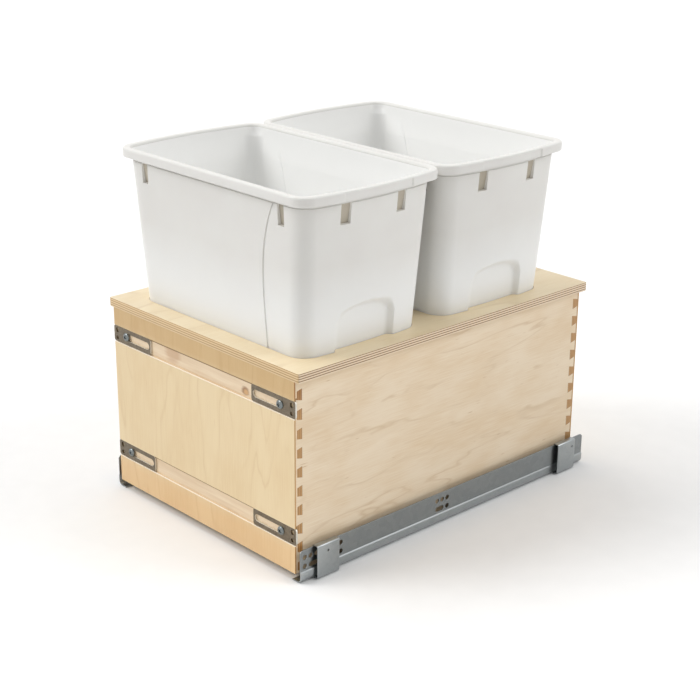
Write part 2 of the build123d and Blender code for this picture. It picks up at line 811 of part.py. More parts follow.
lock_out = slide_x - runner_half - lock_gap
lock_in = lock_out - lock_width
lock_y = front_in_y
lock_low_z = slide_top_z - lock_height
lever_z = lock_low_z + lock_height / 2 - lever_thickness / 2
pivot_x = lock_out - lever_width / 2 - lock_gap
pivot_y = lock_y + lever_front + lock_lug + lever_play + lever_width / 2
tooth_y = pivot_y + lever_rear - tooth_length
lock_screw_places = [lock_in + lock_width * share for share in (0.2, 0.8)]


def locking_device():
    """The plastic block under the front corner, slotted right through for its lever."""
    shape = block(lock_in, lock_out, lock_y, lock_y + lock_length, lock_low_z, slide_top_z)
    shape -= block(lock_in, lock_out, lock_y + lock_lug, lock_y + lock_length,
                   lever_z - lever_play, lever_z + lever_thickness + lever_play)
    shape += rod_z(pivot_x, pivot_y, lever_z - lever_play, lever_z + lever_thickness + lever_play,
                   pivot_diameter)
    for x in lock_screw_places:
        shape -= lock_screw_shank(x)
        shape -= lock_screw_well(x)
    return shape


def lock_screw_shank(x):
    """The shank of a screw through the lug of the locking device into the front board."""
    return rod_y(x, lock_y - lock_screw_depth, lock_y + lock_lug, lock_screw_z, lock_screw_diameter)


def lock_screw_well(x):
    """The well that the driver and the screw head pass through."""
    return rod_y(x, lock_y + lock_lug, lock_y + lock_length, lock_screw_z, lock_screw_head + 1)


def lock_screw(x):
    """A screw seated on the lug of the locking device."""
    head_y = lock_y + lock_lug
    head = rod_y(x, head_y, head_y + lock_screw_head_height, lock_screw_z, lock_screw_head)
    return head + lock_screw_shank(x)


def release_lever():
    """The lever whose tooth enters the window of the runner."""
    half = lever_width / 2
    shape = block(pivot_x - half, pivot_x + half, pivot_y - lever_front, pivot_y + lever_rear,
                  lever_z, lever_z + lever_thickness)
    tooth_tip = slide_x - runner_half + tooth_entry
    shape += block(pivot_x, tooth_tip, tooth_y, tooth_y + tooth_length, lever_z, lever_z + lever_thickness)
    bore = pivot_diameter + 2 * pivot_running_play
    return shape - rod_z(pivot_x, pivot_y, lever_z, lever_z + lever_thickness, bore)


lock_screw_z = lock_low_z + lock_height / 2

os.makedirs("parts", exist_ok=True)

save("front_panel", front_panel())
save("back_panel", back_panel())
save_pair("side_panel", tail_board())
save("bottom_panel", bottom_panel_with(groove_play))
save("top_panel", top_panel())
save_set("top_panel_dowels", [dowel(y) for y in dowel_places])

save_pair("upper_door_bracket", door_bracket(upper_channel_z))
save_pair("lower_door_bracket", door_bracket(lower_channel_z))
save_set("door_bracket_screws", [bracket_screw(z) for z in (upper_channel_z, lower_channel_z)])

one_bin = waste_bin()
save("front_bin", Pos(0, bin_front_y, 0) * one_bin)
save("rear_bin", Pos(0, bin_rear_y, 0) * one_bin)

save_pair("cabinet_rail", cabinet_rail())
save_pair("front_spacer_clip", spacer_clip(front_clip_margin, front_clip_hole))
save_pair("rear_spacer_clip", spacer_clip(rail_length - rear_clip_margin - clip_length, rear_clip_hole))
save_pair("cabinet_track", cabinet_track())
save_pair("middle_rail", middle_rail())
save_pair("drawer_runner", drawer_runner())

lower_cage = pocketed_carriage(lower_carriage_y, lower_carriage_length, track_head_rise, track_top_z,
                               lower_roof_z, middle_low_z + middle_sheet, middle_inside_width,
                               lower_roller_diameter)
upper_cage = pocketed_carriage(upper_carriage_y, upper_carriage_length, middle_head_z, upper_head_z,
                               upper_roof_z, runner_low_z + runner_sheet, runner_inside_width,
                               upper_roller_diameter)
save_pair("lower_carriage", lower_cage)
save_pair("upper_carriage", upper_cage)
lower_z = (track_top_z + lower_roof_z) / 2
upper_z = (upper_head_z + upper_roof_z) / 2
lower_set = roller_set(lower_carriage_y, lower_carriage_length, lower_z, lower_roller_diameter)
upper_set = roller_set(upper_carriage_y, upper_carriage_length, upper_z, upper_roller_diameter)
save_pair("lower_rollers", Compound(children=lower_set))
save_pair("upper_rollers", Compound(children=upper_set))

save_pair("soft_close_housing", closer_housing())
save_pair("soft_close_trolley", closer_trolley())
save_pair("soft_close_damper", damper_cylinder())
save_pair("damper_rod", damper_rod())
save_pair("closing_spring", closing_spring())
save_pair("closing_catch", closing_catch())

save_pair("locking_device", locking_device())
save_pair("release_lever", release_lever())
save_set("locking_device_screws", [lock_screw(x) for x in lock_screw_places])
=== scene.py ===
# %% [markdown]
# # A pull-out waste bin for a kitchen cabinet
# A dovetailed box of birch plywood rides on two concealed steel slides and carries two tall white
# bins. The CAD model arrives as a fixed frame, in metres, with Z up and the cabinet door on the -Y
# side. Every piece that this lesson makes is built in that same frame, so nothing has to be fitted
# by eye, and each piece rides the CAD body that it belongs to.

# %% Load the frame
import json
import math
import bmesh
import bpy
from mathutils import Matrix, Vector


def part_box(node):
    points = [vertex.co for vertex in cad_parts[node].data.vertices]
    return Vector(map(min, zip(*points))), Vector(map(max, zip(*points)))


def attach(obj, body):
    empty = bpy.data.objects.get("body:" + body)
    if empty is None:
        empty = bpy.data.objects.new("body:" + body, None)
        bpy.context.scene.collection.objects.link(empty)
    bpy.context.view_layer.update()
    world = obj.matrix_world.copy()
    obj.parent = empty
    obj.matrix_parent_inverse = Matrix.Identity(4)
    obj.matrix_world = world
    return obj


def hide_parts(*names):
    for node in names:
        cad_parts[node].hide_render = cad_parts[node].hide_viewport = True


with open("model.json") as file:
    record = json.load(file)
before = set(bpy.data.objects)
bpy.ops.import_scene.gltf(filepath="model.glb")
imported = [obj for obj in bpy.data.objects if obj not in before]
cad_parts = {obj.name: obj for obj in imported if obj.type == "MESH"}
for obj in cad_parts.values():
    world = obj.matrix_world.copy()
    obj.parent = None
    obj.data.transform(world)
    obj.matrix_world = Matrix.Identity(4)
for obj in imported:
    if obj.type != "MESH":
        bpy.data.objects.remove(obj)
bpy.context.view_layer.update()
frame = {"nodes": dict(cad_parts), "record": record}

MM = 0.001  # the frame is in metres, while a maker thinks in millimetres

# %% [markdown]
# ## Colours and shader nodes
# A colour picked from a screen is coded for the eye (sRGB), while shaders count light, so one
# function turns a hex code into linear numbers. A second one adds any node with its settings and
# links, so that a finish reads as the list of its nodes.

# %% Colour and node helpers
def linear(code):
    """An sRGB hex colour as the linear RGBA that a shader socket takes."""
    parts = [int(code[k:k + 2], 16) / 255 for k in (1, 3, 5)]
    return tuple(c / 12.92 if c <= 0.04045 else ((c + 0.055) / 1.055) ** 2.4 for c in parts) + (1.0,)


def add(tree, kind, inputs=(), stops=(), **settings):
    """Adds one node: its settings, its sockets' values or links, and the stops of a colour ramp."""
    made = tree.nodes.new(kind)
    for name, value in settings.items():
        setattr(made, name, value)
    for number, (place, colour) in enumerate(stops):
        ramp_stops = made.color_ramp.elements
        stop = ramp_stops[number] if number < 2 else ramp_stops.new(place)
        stop.position = place
        stop.color = colour
    for socket, value in dict(inputs).items():
        if isinstance(value, bpy.types.NodeSocket):
            tree.links.new(value, made.inputs[socket])
        else:
            made.inputs[socket].default_value = value
    return made


def connect(tree, shader, sockets):
    """Links what was worked out to the sockets of a shader."""
    for name, value in sockets.items():
        tree.links.new(value, shader.inputs[name])


def new_finish(name, sockets):
    """A new material whose Principled shader has these sockets set."""
    material = bpy.data.materials.new(name)
    material.use_nodes = True
    tree = material.node_tree
    tree.nodes.clear()
    shader = add(tree, "ShaderNodeBsdfPrincipled", sockets)
    add(tree, "ShaderNodeOutputMaterial", {"Surface": shader.outputs["BSDF"]})
    return material, tree, shader


print("White reads as", linear("#ffffff"), "and mid grey as", round(linear("#808080")[0], 3))

# %% [markdown]
# ## Birch plywood
# Birch veneer is peeled off the log in one long sheet, so its growth rings show as wide, soft,
# wandering contours instead of straight lines. An image would be the quick way to paint it, but
# contour lines of a stretched noise give the same figure at any size. The ring number is noise
# times a count, and its fraction runs once through each ring. Patches let the rings fade here and
# there, and fine fibres run along the grain on top. On the edges of a board the thin plies show as
# stripes instead. The surface normal says which of the two a point belongs to.

# %% Plywood finish
PLY_PAIR = 3.0 * MM  # one light and one dark ply together, eight plies in a 12 mm board
PLY_WANDER = 0.8 * MM  # how far a ply strays from a straight line
FIGURE_WIDTH = 75 * MM  # how far the growth rings run before they wander off
PATCH_WIDTH = 45 * MM  # size of the patches in which the rings show or fade
FIBRE_WIDTH = 1.3 * MM  # finer in real wood, drawn as coarse as the picture needs to show it
FLECK_WIDTH = 2.2 * MM  # short dark flecks, always along the grain
RING_PROFILE = ((0.0, 0.55), (1.0, 0.55), (0.07, 0.18), (0.3, 0.0), (0.9, 0.06))  # place, darkness


def along_grain(tree, place, grain, shrink):
    """The place of a point, squeezed along the grain so that a texture drawn there is stretched."""
    scale = [1.0, 1.0, 1.0]
    scale[grain] = shrink
    return add(tree, "ShaderNodeVectorMath", {0: place, 1: scale}, operation="MULTIPLY").outputs[0]


def birch_plywood(name, through, grain, veneer, edges, start, rings=9.0, seed=0.0, ragged=0.35):
    """Lacquered birch plywood. Through and grain are axes, veneer goes from line to light, and
    edges gives the dark and light plies of faces that look along the grain and across it."""
    material, tree, shader = new_finish(name, {"Roughness": 0.42, "IOR": 1.5, "Coat Weight": 0.12,
                                               "Coat Roughness": 0.35})
    texture = add(tree, "ShaderNodeTexCoord")
    here = texture.outputs["Object"]
    moved = add(tree, "ShaderNodeVectorMath", {0: here, 1: [seed] * 3}, operation="ADD").outputs[0]
    figure = add(tree, "ShaderNodeTexNoise", {"Vector": along_grain(tree, moved, grain, 0.2),
                                              "Scale": 1 / FIGURE_WIDTH, "Detail": 4.0,
                                              "Roughness": ragged, "Distortion": 0.3}).outputs[0]
    ring_number = add(tree, "ShaderNodeMath", {0: figure, 1: rings}, operation="MULTIPLY").outputs[0]
    ring_share = add(tree, "ShaderNodeMath", {0: ring_number}, operation="FRACT").outputs[0]
    profile = [(place, (grey, grey, grey, 1.0)) for place, grey in RING_PROFILE]
    ring_line = add(tree, "ShaderNodeValToRGB", {"Fac": ring_share}, profile).outputs[0]
    patch = add(tree, "ShaderNodeTexNoise", {"Vector": along_grain(tree, moved, grain, 0.5),
                                             "Scale": 1 / PATCH_WIDTH, "Detail": 3.0}).outputs[0]
    shown = add(tree, "ShaderNodeMapRange", {"Value": patch, "From Min": 0.38,
                                             "From Max": 0.64}).outputs[0]
    rings_here = add(tree, "ShaderNodeMath", {0: ring_line, 1: shown}, operation="MULTIPLY").outputs[0]
    fleck = add(tree, "ShaderNodeTexNoise", {"Vector": along_grain(tree, moved, grain, 0.1),
                                             "Scale": 1 / FLECK_WIDTH, "Detail": 1.0}).outputs[0]
    flecks = add(tree, "ShaderNodeMapRange", {"Value": fleck, "From Min": 0.74,
                                              "From Max": 0.86}).outputs[0]
    dark = add(tree, "ShaderNodeMath", {0: rings_here, 1: flecks}, operation="MAXIMUM").outputs[0]
    fibre = add(tree, "ShaderNodeTexNoise", {"Vector": along_grain(tree, moved, grain, 0.03),
                                             "Scale": 1 / FIBRE_WIDTH, "Detail": 2.0,
                                             "Roughness": 0.6}).outputs[0]
    tone = add(tree, "ShaderNodeMath", {0: fibre, 1: 0.7, 2: patch}, operation="MULTIPLY_ADD").outputs[0]
    plain = add(tree, "ShaderNodeValToRGB", {"Fac": tone},
                [(0.58, linear(veneer[1])), (1.0, linear(veneer[2]))]).outputs[0]
    face = add(tree, "ShaderNodeMix", {0: dark, 6: plain, 7: linear(veneer[0])},
               data_type="RGBA").outputs[2]
    into_board = add(tree, "ShaderNodeSeparateXYZ", {0: here}).outputs[through]
    depth = add(tree, "ShaderNodeMath", {0: into_board, 1: start}, operation="SUBTRACT").outputs[0]
    wavy = add(tree, "ShaderNodeMath", {0: patch, 1: PLY_WANDER, 2: depth},
               operation="MULTIPLY_ADD").outputs[0]
    ply = add(tree, "ShaderNodeMath", {0: wavy, 1: PLY_PAIR / 2}, operation="PINGPONG").outputs[0]
    share = add(tree, "ShaderNodeMath", {0: ply, 1: PLY_PAIR / 2}, operation="DIVIDE").outputs[0]
    plies = [add(tree, "ShaderNodeValToRGB", {"Fac": share},
                 [(0.32, linear(dark_ply)), (0.5, linear(light_ply))]).outputs[0]
             for dark_ply, light_ply in edges]
    facing = add(tree, "ShaderNodeSeparateXYZ", {0: texture.outputs["Normal"]}).outputs
    leans = [add(tree, "ShaderNodeMath", {0: facing[axis]}, operation="ABSOLUTE").outputs[0]
             for axis in (grain, through)]
    end_on, face_on = [add(tree, "ShaderNodeMath", {0: lean, 1: 0.7}, operation="GREATER_THAN").outputs[0]
                       for lean in leans]
    edge = add(tree, "ShaderNodeMix", {0: end_on, 6: plies[1], 7: plies[0]}, data_type="RGBA").outputs[2]
    colour = add(tree, "ShaderNodeMix", {0: face_on, 6: edge, 7: face}, data_type="RGBA").outputs[2]
    relief = add(tree, "ShaderNodeBump", {"Height": fibre, "Strength": 0.12,
                                          "Distance": 0.15 * MM}).outputs[0]
    connect(tree, shader, {"Base Color": colour, "Normal": relief})
    return material


print("Plies per 12 mm board:", round(2 * 12 * MM / PLY_PAIR))

# %% [markdown]
# Each board was cut from another part of the sheet, so each gets its own shift of the figure and a
# slightly different tint. The front stands with its grain upright, and the sides and the top have
# it along the depth of the box. The darker stripes on the front and back boards are end grain,
# which shows on their dovetail pins.

# %% Boards of the box
X, Y, Z = 0, 1, 2
front_low, front_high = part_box("front_panel")
top_low, top_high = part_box("top_panel")
side_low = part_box("side_panel_right")[0]
CREAM = ("#d7b98a", "#e1c79b", "#e8d2a9")  # ring line, plain wood and its lightest parts
PALE = ("#c8a77c", "#e1c8a5", "#ecdabf")
TOP = ("#d0b68d", "#e4cfa8", "#ecdbb9")
CUT_EDGE = ("#dcc398", "#ecd8b2")  # dark and light plies
TOP_FRONT = ("#b28d5c", "#dec397")
TOP_SIDE = ("#8f6a42", "#e8d4b8")
PIN_END = ("#9c7140", "#c1945c")


def dress(node, material):
    """Gives a CAD node its finish."""
    frame["nodes"][node].material_slots[0].material = material


PINNED = (CUT_EDGE, PIN_END)
PLAIN = (CUT_EDGE, CUT_EDGE)
# front: warm cream with tall, narrow figure; back: the same from another part of the sheet
front_finish = birch_plywood("front_birch_plywood", Y, Z, CREAM, PINNED, front_low[Y], 11.0, 0.37)
dress("front_panel", front_finish)
dress("back_panel", birch_plywood("back_birch_plywood", Y, Z, CREAM, PINNED, front_low[Y], 9.0, 1.9))
# sides: paler and pinker, with a few wide and ragged rings
for side, seed in (("left", 2.6), ("right", 0.9)):
    finish = birch_plywood(f"{side}_birch_plywood", X, Y, PALE, PLAIN, side_low[X], 7.0, seed, 0.47)
    dress(f"side_panel_{side}", finish)
# bottom: as the front; top: clear wood, and strongly striped edges that show all its plies
dress("bottom_panel", birch_plywood("bottom_birch_plywood", Z, Y, CREAM, PLAIN, front_low[Z], 9.0, 3.3))
top_finish = birch_plywood("top_birch_plywood", Z, Y, TOP, (TOP_FRONT, TOP_SIDE), top_low[Z], 6.0, 4.1)
print("Five boards dressed, and a finish ready for the top")

# %% [markdown]
# The two channels for the door brackets were routed through the face veneer, so their floors show
# the next ply. Its grain lies across, it is pinker, and nobody sorted out its knots. The shader
# knows these floors by their depth below the face. A painted shadow darkens a thin line along the
# upper edge of each channel, and a painted highlight brightens its lower edge. The face is also
# tinted a little warmer near the bottom of the board and a shade darker near the top.

# %% Inner ply in the channels
CHANNEL_DEPTH, CHANNEL_HEIGHT = 3 * MM, 23 * MM
channel_middles = (front_high[Z] - 35.5 * MM, front_low[Z] + 49 * MM)
channel_floor = front_low[Y] + CHANNEL_DEPTH
STREAK_WIDTH = 5 * MM
# reach of the painted shadow line, of the painted highlight and of the face veneer
SHADOW_LINE_REACH, HIGHLIGHT_REACH, VENEER_REACH = 3.2 * MM, 0.9 * MM, 1.5 * MM
KNOTS = (((0.088, 0.2215), 7 * MM, 0.85, "#8a5a2b"),  # place in metres, size, strength and colour
         ((0.0895, 0.2205), 4.5 * MM, 0.9, "#d2a772"),
         ((-0.058, 0.228), 15 * MM, 0.4, "#b07a48"))
KNOT_SQUASH = 0.8  # knots are a little longer along the grain
tree = front_finish.node_tree
shader = tree.nodes["Principled BSDF"]
here = add(tree, "ShaderNodeTexCoord").outputs["Object"]
axes = add(tree, "ShaderNodeSeparateXYZ", {0: here}).outputs
streak = add(tree, "ShaderNodeTexNoise", {"Vector": along_grain(tree, here, X, 0.07),
                                          "Scale": 1 / STREAK_WIDTH, "Detail": 4.0,
                                          "Roughness": 0.55}).outputs[0]
inner_ply = add(tree, "ShaderNodeValToRGB", {"Fac": streak},
                [(0.3, linear("#dfc5a3")), (0.7, linear("#edd8b9"))]).outputs[0]
for (across, up), size, strength, knot_colour in KNOTS:
    sockets = {0: along_grain(tree, here, X, KNOT_SQUASH), 1: (KNOT_SQUASH * across, channel_floor, up)}
    away = add(tree, "ShaderNodeVectorMath", sockets, operation="DISTANCE").outputs["Value"]
    uneven = add(tree, "ShaderNodeMath", {0: streak, 1: 0.6 * size, 2: away},
                 operation="MULTIPLY_ADD").outputs[0]
    brown = add(tree, "ShaderNodeMapRange", {"Value": uneven, "From Min": 0.8 * size,
                                             "From Max": 1.3 * size, "To Min": strength,
                                             "To Max": 0.0}).outputs[0]
    inner_ply = add(tree, "ShaderNodeMix", {0: brown, 6: inner_ply, 7: linear(knot_colour)},
                    data_type="RGBA").outputs[2]
# the face is tinted a little warmer near the bottom of the board and a shade darker near the top
rise = add(tree, "ShaderNodeMapRange", {"Value": axes[Z], "From Min": front_low[Z],
                                        "From Max": front_high[Z]}).outputs[0]
drift = add(tree, "ShaderNodeValToRGB", {"Fac": rise},
            [(0.1, linear("#fdeede")), (0.93, linear("#e3d4bc")), (0.24, linear("#ffffff")),
             (0.8, linear("#ffffff"))]).outputs[0]
veneer_colour = shader.inputs["Base Color"].links[0].from_socket
veneer_colour = add(tree, "ShaderNodeMix", {0: 1.0, 6: veneer_colour, 7: drift}, data_type="RGBA",
                    blend_type="MULTIPLY").outputs[2]
skin = add(tree, "ShaderNodeMath", {0: axes[Y], 1: front_low[Y], 2: VENEER_REACH},
           operation="COMPARE").outputs[0]
for middle in channel_middles:
    # painted shadow: a thin dark line along the upper edge of the channel
    painted_shadow_line = add(tree, "ShaderNodeMath", {0: axes[Z], 1: middle + CHANNEL_HEIGHT / 2, 2: SHADOW_LINE_REACH},
                   operation="COMPARE").outputs[0]
    inner_ply = add(tree, "ShaderNodeMix", {0: painted_shadow_line, 6: inner_ply, 7: linear("#8d6c3e")},
                    data_type="RGBA").outputs[2]
    # painted highlight: a bright band on the face veneer along the lower edge of the channel
    painted_highlight_band = add(tree, "ShaderNodeMath", {0: axes[Z], 1: middle - CHANNEL_HEIGHT / 2, 2: HIGHLIGHT_REACH},
                operation="COMPARE").outputs[0]
    bright = add(tree, "ShaderNodeMath", {0: painted_highlight_band, 1: skin}, operation="MULTIPLY").outputs[0]
    veneer_colour = add(tree, "ShaderNodeMix", {0: bright, 6: veneer_colour, 7: linear("#fbeedb")},
                        data_type="RGBA").outputs[2]
sunk = add(tree, "ShaderNodeMath", {0: axes[Y], 1: channel_floor, 2: MM}, operation="COMPARE").outputs[0]
mixed = add(tree, "ShaderNodeMix", {0: sunk, 6: veneer_colour, 7: inner_ply}, data_type="RGBA").outputs[2]
connect(tree, shader, {"Base Color": mixed})
print("Channel floors lie", round(CHANNEL_DEPTH / MM, 1), "mm deep, with", len(KNOTS), "knots")

# %% [markdown]
# ## Polypropylene for the bins
# The bins are injection moulded from white polypropylene. The outer half of the mould has a fine
# texture, which lets the light roll softly round the corners. The core is polished. The outside is
# painted a little darker, as painted shade, and the inside whiter, as painted light. The outside is
# also painted whiter towards the base, a painted light, and the notches under the rim are painted a
# dull beige, a painted shade. A slight unevenness in the roughness keeps large walls from looking
# computed.

# %% White polypropylene
MOULD_GRAIN = 0.7 * MM  # finer in the real mould, drawn as coarse as the picture needs to show it
CLOUD_WIDTH = 60 * MM  # slow change of tone and gloss along a wall
SOAK_DEPTH = 6 * MM  # how far light soaks into white plastic
PAINTED_LIGHT_HEIGHT = 110 * MM
POLYPROPYLENE_IOR = 1.49


def moulded_plastic(name, colour, shade, roughness, glow=0.0, ior=POLYPROPYLENE_IOR):
    """Satin moulded plastic with a fine grain from the mould. Glow is how much light soaks in."""
    material, tree, shader = new_finish(name, {"IOR": ior, "Subsurface Weight": glow,
                                               "Subsurface Scale": SOAK_DEPTH,
                                               "Subsurface Radius": (1.0, 0.97, 0.92)})
    here = add(tree, "ShaderNodeTexCoord").outputs["Object"]
    grain = add(tree, "ShaderNodeTexNoise", {"Vector": here, "Scale": 1 / MOULD_GRAIN,
                                             "Detail": 2.0}).outputs[0]
    cloud = add(tree, "ShaderNodeTexNoise", {"Vector": here, "Scale": 1 / CLOUD_WIDTH,
                                             "Detail": 3.0}).outputs[0]
    tint = add(tree, "ShaderNodeValToRGB", {"Fac": cloud},
               [(0.3, linear(shade)), (0.7, linear(colour))]).outputs[0]
    gloss = add(tree, "ShaderNodeMapRange", {"Value": cloud, "To Min": roughness - 0.05,
                                             "To Max": roughness + 0.05}).outputs[0]
    relief = add(tree, "ShaderNodeBump", {"Height": grain, "Strength": 0.08,
                                          "Distance": 0.1 * MM}).outputs[0]
    connect(tree, shader, {"Base Color": tint, "Roughness": gloss, "Normal": relief})
    return material


# outside: soft off-white that glows a little, painted darker as painted shade; inside: clean and
# painted brighter as painted light; notches: dull beige, a painted shade
bin_finishes = (moulded_plastic("textured_painted_shade_and_light_polypropylene", "#e1e0dc", "#dedcd8", 0.48, 0.25),
                moulded_plastic("polished_painted_light_polypropylene", "#fdfdfb", "#fbfbf9", 0.36, 0.05),
                moulded_plastic("notch_painted_shade_polypropylene", "#bfb6a6", "#aba291", 0.6))
# Painted light: the outside fades to a whiter tint from 110 mm above the top panel down to its base.
tree = bin_finishes[0].node_tree
shader = tree.nodes["Principled BSDF"]
tint = shader.inputs["Base Color"].links[0].from_socket
here = add(tree, "ShaderNodeTexCoord").outputs["Object"]
height = add(tree, "ShaderNodeSeparateXYZ", {0: here}).outputs[Z]
base_painted_light = add(tree, "ShaderNodeMapRange", {"Value": height, "From Min": top_high[Z],
                                          "From Max": top_high[Z] + PAINTED_LIGHT_HEIGHT,
                                          "To Min": 1.0, "To Max": 0.0}).outputs[0]
whiter = add(tree, "ShaderNodeMix", {0: base_painted_light, 6: tint, 7: linear("#f3f5f5")},
             data_type="RGBA").outputs[2]
connect(tree, shader, {"Base Color": whiter})
print("Made", [finish.name for finish in bin_finishes])

# %% [markdown]
# ## Steel finishes
# The rails are folded from galvanised sheet. Hot zinc freezes in flat crystals, the spangle, which
# a Voronoi texture draws as patches that differ a little in brightness and gloss. The door brackets
# are thicker sheet with a duller, warmer zinc, and the screws are smooth and slightly blue. All of
# them keep the default IOR, since a metal's reflection comes from its base colour.

# %% Zinc and steel
SPECK_WIDTH = 1.2 * MM  # fine mottling inside the crystals


def zinc(name, colour, shade, roughness, patch):
    """Zinc-coated steel with crystal patches of a given size."""
    material, tree, shader = new_finish(name, {"Metallic": 1.0})
    here = add(tree, "ShaderNodeTexCoord").outputs["Object"]
    spangle = add(tree, "ShaderNodeTexVoronoi", {"Vector": here, "Scale": 1 / patch}).outputs["Color"]
    speck = add(tree, "ShaderNodeTexNoise", {"Vector": here, "Scale": 1 / SPECK_WIDTH,
                                             "Detail": 3.0}).outputs[0]
    mixed = add(tree, "ShaderNodeMath", {0: spangle, 1: 0.5, 2: speck},
                operation="MULTIPLY_ADD").outputs[0]
    tint = add(tree, "ShaderNodeValToRGB", {"Fac": mixed},
               [(0.3, linear(shade)), (1.0, linear(colour))]).outputs[0]
    gloss = add(tree, "ShaderNodeMapRange", {"Value": mixed, "From Max": 1.3, "To Min": roughness + 0.08,
                                             "To Max": roughness - 0.08}).outputs[0]
    relief = add(tree, "ShaderNodeBump", {"Height": speck, "Strength": 0.06,
                                          "Distance": 0.05 * MM}).outputs[0]
    connect(tree, shader, {"Base Color": tint, "Roughness": gloss, "Normal": relief})
    return material


steels = {
    "rail": zinc("spangled_galvanised_steel", "#8f9394", "#848889", 0.36, 7 * MM),  # cool, cloudy grey
    # the clip steel also covers the rail's foot, where it is painted light
    "clip": zinc("clip_and_painted_light_galvanised_steel", "#a7abac", "#9ca1a2", 0.34, 6 * MM),  # the same, newer
    "bracket": zinc("dull_zinc_steel", "#7d7364", "#645a4c", 0.38, 4 * MM),  # dark and warm
    "screw": zinc("bright_zinc_steel", "#838888", "#6f7575", 0.34, 3 * MM),  # smooth, bluish
    "sheared": zinc("sheared_zinc_steel", "#e6e3da", "#d2cec4", 0.55, 1.5 * MM),  # bare, bright edges
    "ground": zinc("ground_steel", "#c9cacb", "#b3b5b7", 0.25, 2 * MM),  # clean and glossy
}
print("Made", [steel.name for steel in steels.values()])

# %% [markdown]
# The slides hold more plastics that hardly show: grey and white acetal in the roller cages, grey
# ABS in the soft-closing and locking units, and orange levers that a hand has to find under the
# box. The record of the CAD model lists which node is made of what, so one loop dresses them all.

# %% Dress the remaining CAD nodes
ACETAL_IOR, ABS_IOR = 1.48, 1.53
BEECH = ("#a98258", "#c39d70", "#d0ae84")
finishes = {
    "white_polypropylene": bin_finishes[0],
    "galvanised_steel": steels["rail"],
    "bracket_steel": steels["bracket"],
    "zinc_screw": steels["screw"],
    "bright_steel": steels["ground"],
    # darker and browner than the birch round it
    "beech_dowel": birch_plywood("dowel_beech", X, Z, BEECH, (BEECH[:2], BEECH[:2]), 0.0),
    # cages and rollers with a soft, waxy gloss
    "grey_acetal": moulded_plastic("moulded_grey_acetal", "#6b6d70", "#626467", 0.4, ior=ACETAL_IOR),
    "white_acetal": moulded_plastic("moulded_white_acetal", "#ecebe6", "#e4e3dd", 0.35, ior=ACETAL_IOR),
    # housings in matt grey, and levers whose orange can be found in the dark
    "grey_abs": moulded_plastic("moulded_grey_abs", "#77797b", "#6d6f72", 0.45, ior=ABS_IOR),
    "orange_abs": moulded_plastic("moulded_orange_abs", "#e2762d", "#d96c25", 0.4, ior=ABS_IOR),
}
for subpart in frame["record"]["subparts"]:
    if subpart["material_slot"] in finishes:
        dress(subpart["node"], finishes[subpart["material_slot"]])
print("Dressed by slot:", sorted(finishes))

# %% [markdown]
# ## The shape of a bin
# A bin is a loft: the same closed outline is drawn at many heights, and neighbouring outlines are
# joined by faces. The outline has two straight long sides, two slightly bowed ends and four round
# corners, and it grows from the base to the rim so that bins can leave the mould and stack.
# Modelling it from a box with a subdivision surface would round off everything at once. With a
# loft, each column of points runs along a real line of the bin, such as a crease or the edge of a
# notch, and that line stays crisp.

# %% Outline of a bin
bin_low, bin_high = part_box("front_bin")
rim_length, rim_width, bin_height = [v / MM for v in bin_high - bin_low]
RIM_DROP, NECK_INSET = 14.0, 8.8  # the neck lies this far under the top and inside the rim
END_TAPER, SIDE_TAPER = 46.0, 28.5  # how far the base lies inside the rim
neck_height = bin_height - RIM_DROP
RIM = {"length": rim_length, "width": rim_width, "bow": 10.4, "corner": 26.0}
NECK = dict(RIM, length=rim_length - 2 * NECK_INSET, width=rim_width - 2 * NECK_INSET)
BASE = {"length": rim_length - 2 * END_TAPER, "width": rim_width - 2 * SIDE_TAPER,
        "bow": 1.0, "corner": 24.0}


def size_at(height):
    """The outside of the body at a height above its base, in mm."""
    share = min(height / neck_height, 1.0)
    return {key: BASE[key] + share * (NECK[key] - BASE[key]) for key in BASE}


def smaller(size, inset):
    """The same outline, drawn an inset further in."""
    return dict(size, length=size["length"] - 2 * inset, width=size["width"] - 2 * inset,
                corner=size["corner"] - inset)


print("Base and rim in mm:", BASE["length"], BASE["width"], "to", round(rim_length), round(rim_width))

# %% [markdown]
# The walls aren't plain. On each long side a shallow panel stands proud between two curved creases,
# which stiffens the wall. Each end has a flat recess with a rounded top, and short notches lie in
# pairs under the rim. All of these are depths, in millimetres, that a point of the outline moves
# inwards. The wall itself swells gently towards the notches, so that something is left behind them
# while the inside stays smooth.

# %% Relief of the walls
CREASE_DEPTH, CREASE_BLEND, CREASE_GROOVE = 1.0, 0.7, 1.9
WAIST_HEIGHT, WAIST_HALF = 315.0, 94.0  # where the two creases of a side come closest
UPPER_FLARE, UPPER_RISE, UPPER_POWER = 22.0, 108, 2.4  # how they part above that
LOWER_FLARE, LOWER_FALL = 3.0, 67  # and below
PANEL_INSIDE, PANEL_FADE = 0.6, 40  # how much of the panel shows inside, and where it fades
NOTCH_BLEND, NOTCH_BACK = 0.5, 0.95  # the edge of a notch, and the wall left behind it
NOTCH_SWELL, SWELL_LENGTH, SWELL_END = 3.0, 200.0, 4.0
WALL, FLOOR = 2.5, 3.0
TOUCH = 0.01  # lengths this short count as none
notch_foot, notch_head = neck_height - 27.5, neck_height - 2.8
side_notch, side_notch_half = 132.0, 5.25
end_notch, end_notch_half = 45.0, 7.0
GRIP = {"half": 46.0, "top": 296.0, "crown": 9.0, "corner": 14.0, "depth": 7.4, "slope": 5.6}


def crease_at(height):
    """How far from the middle of a long side the crease lies."""
    up = min(height, neck_height) - WAIST_HEIGHT
    if up > 0:
        return WAIST_HALF + UPPER_FLARE * (up / UPPER_RISE) ** UPPER_POWER
    return WAIST_HALF + LOWER_FLARE * min(1.0, (up / LOWER_FALL) ** 2)


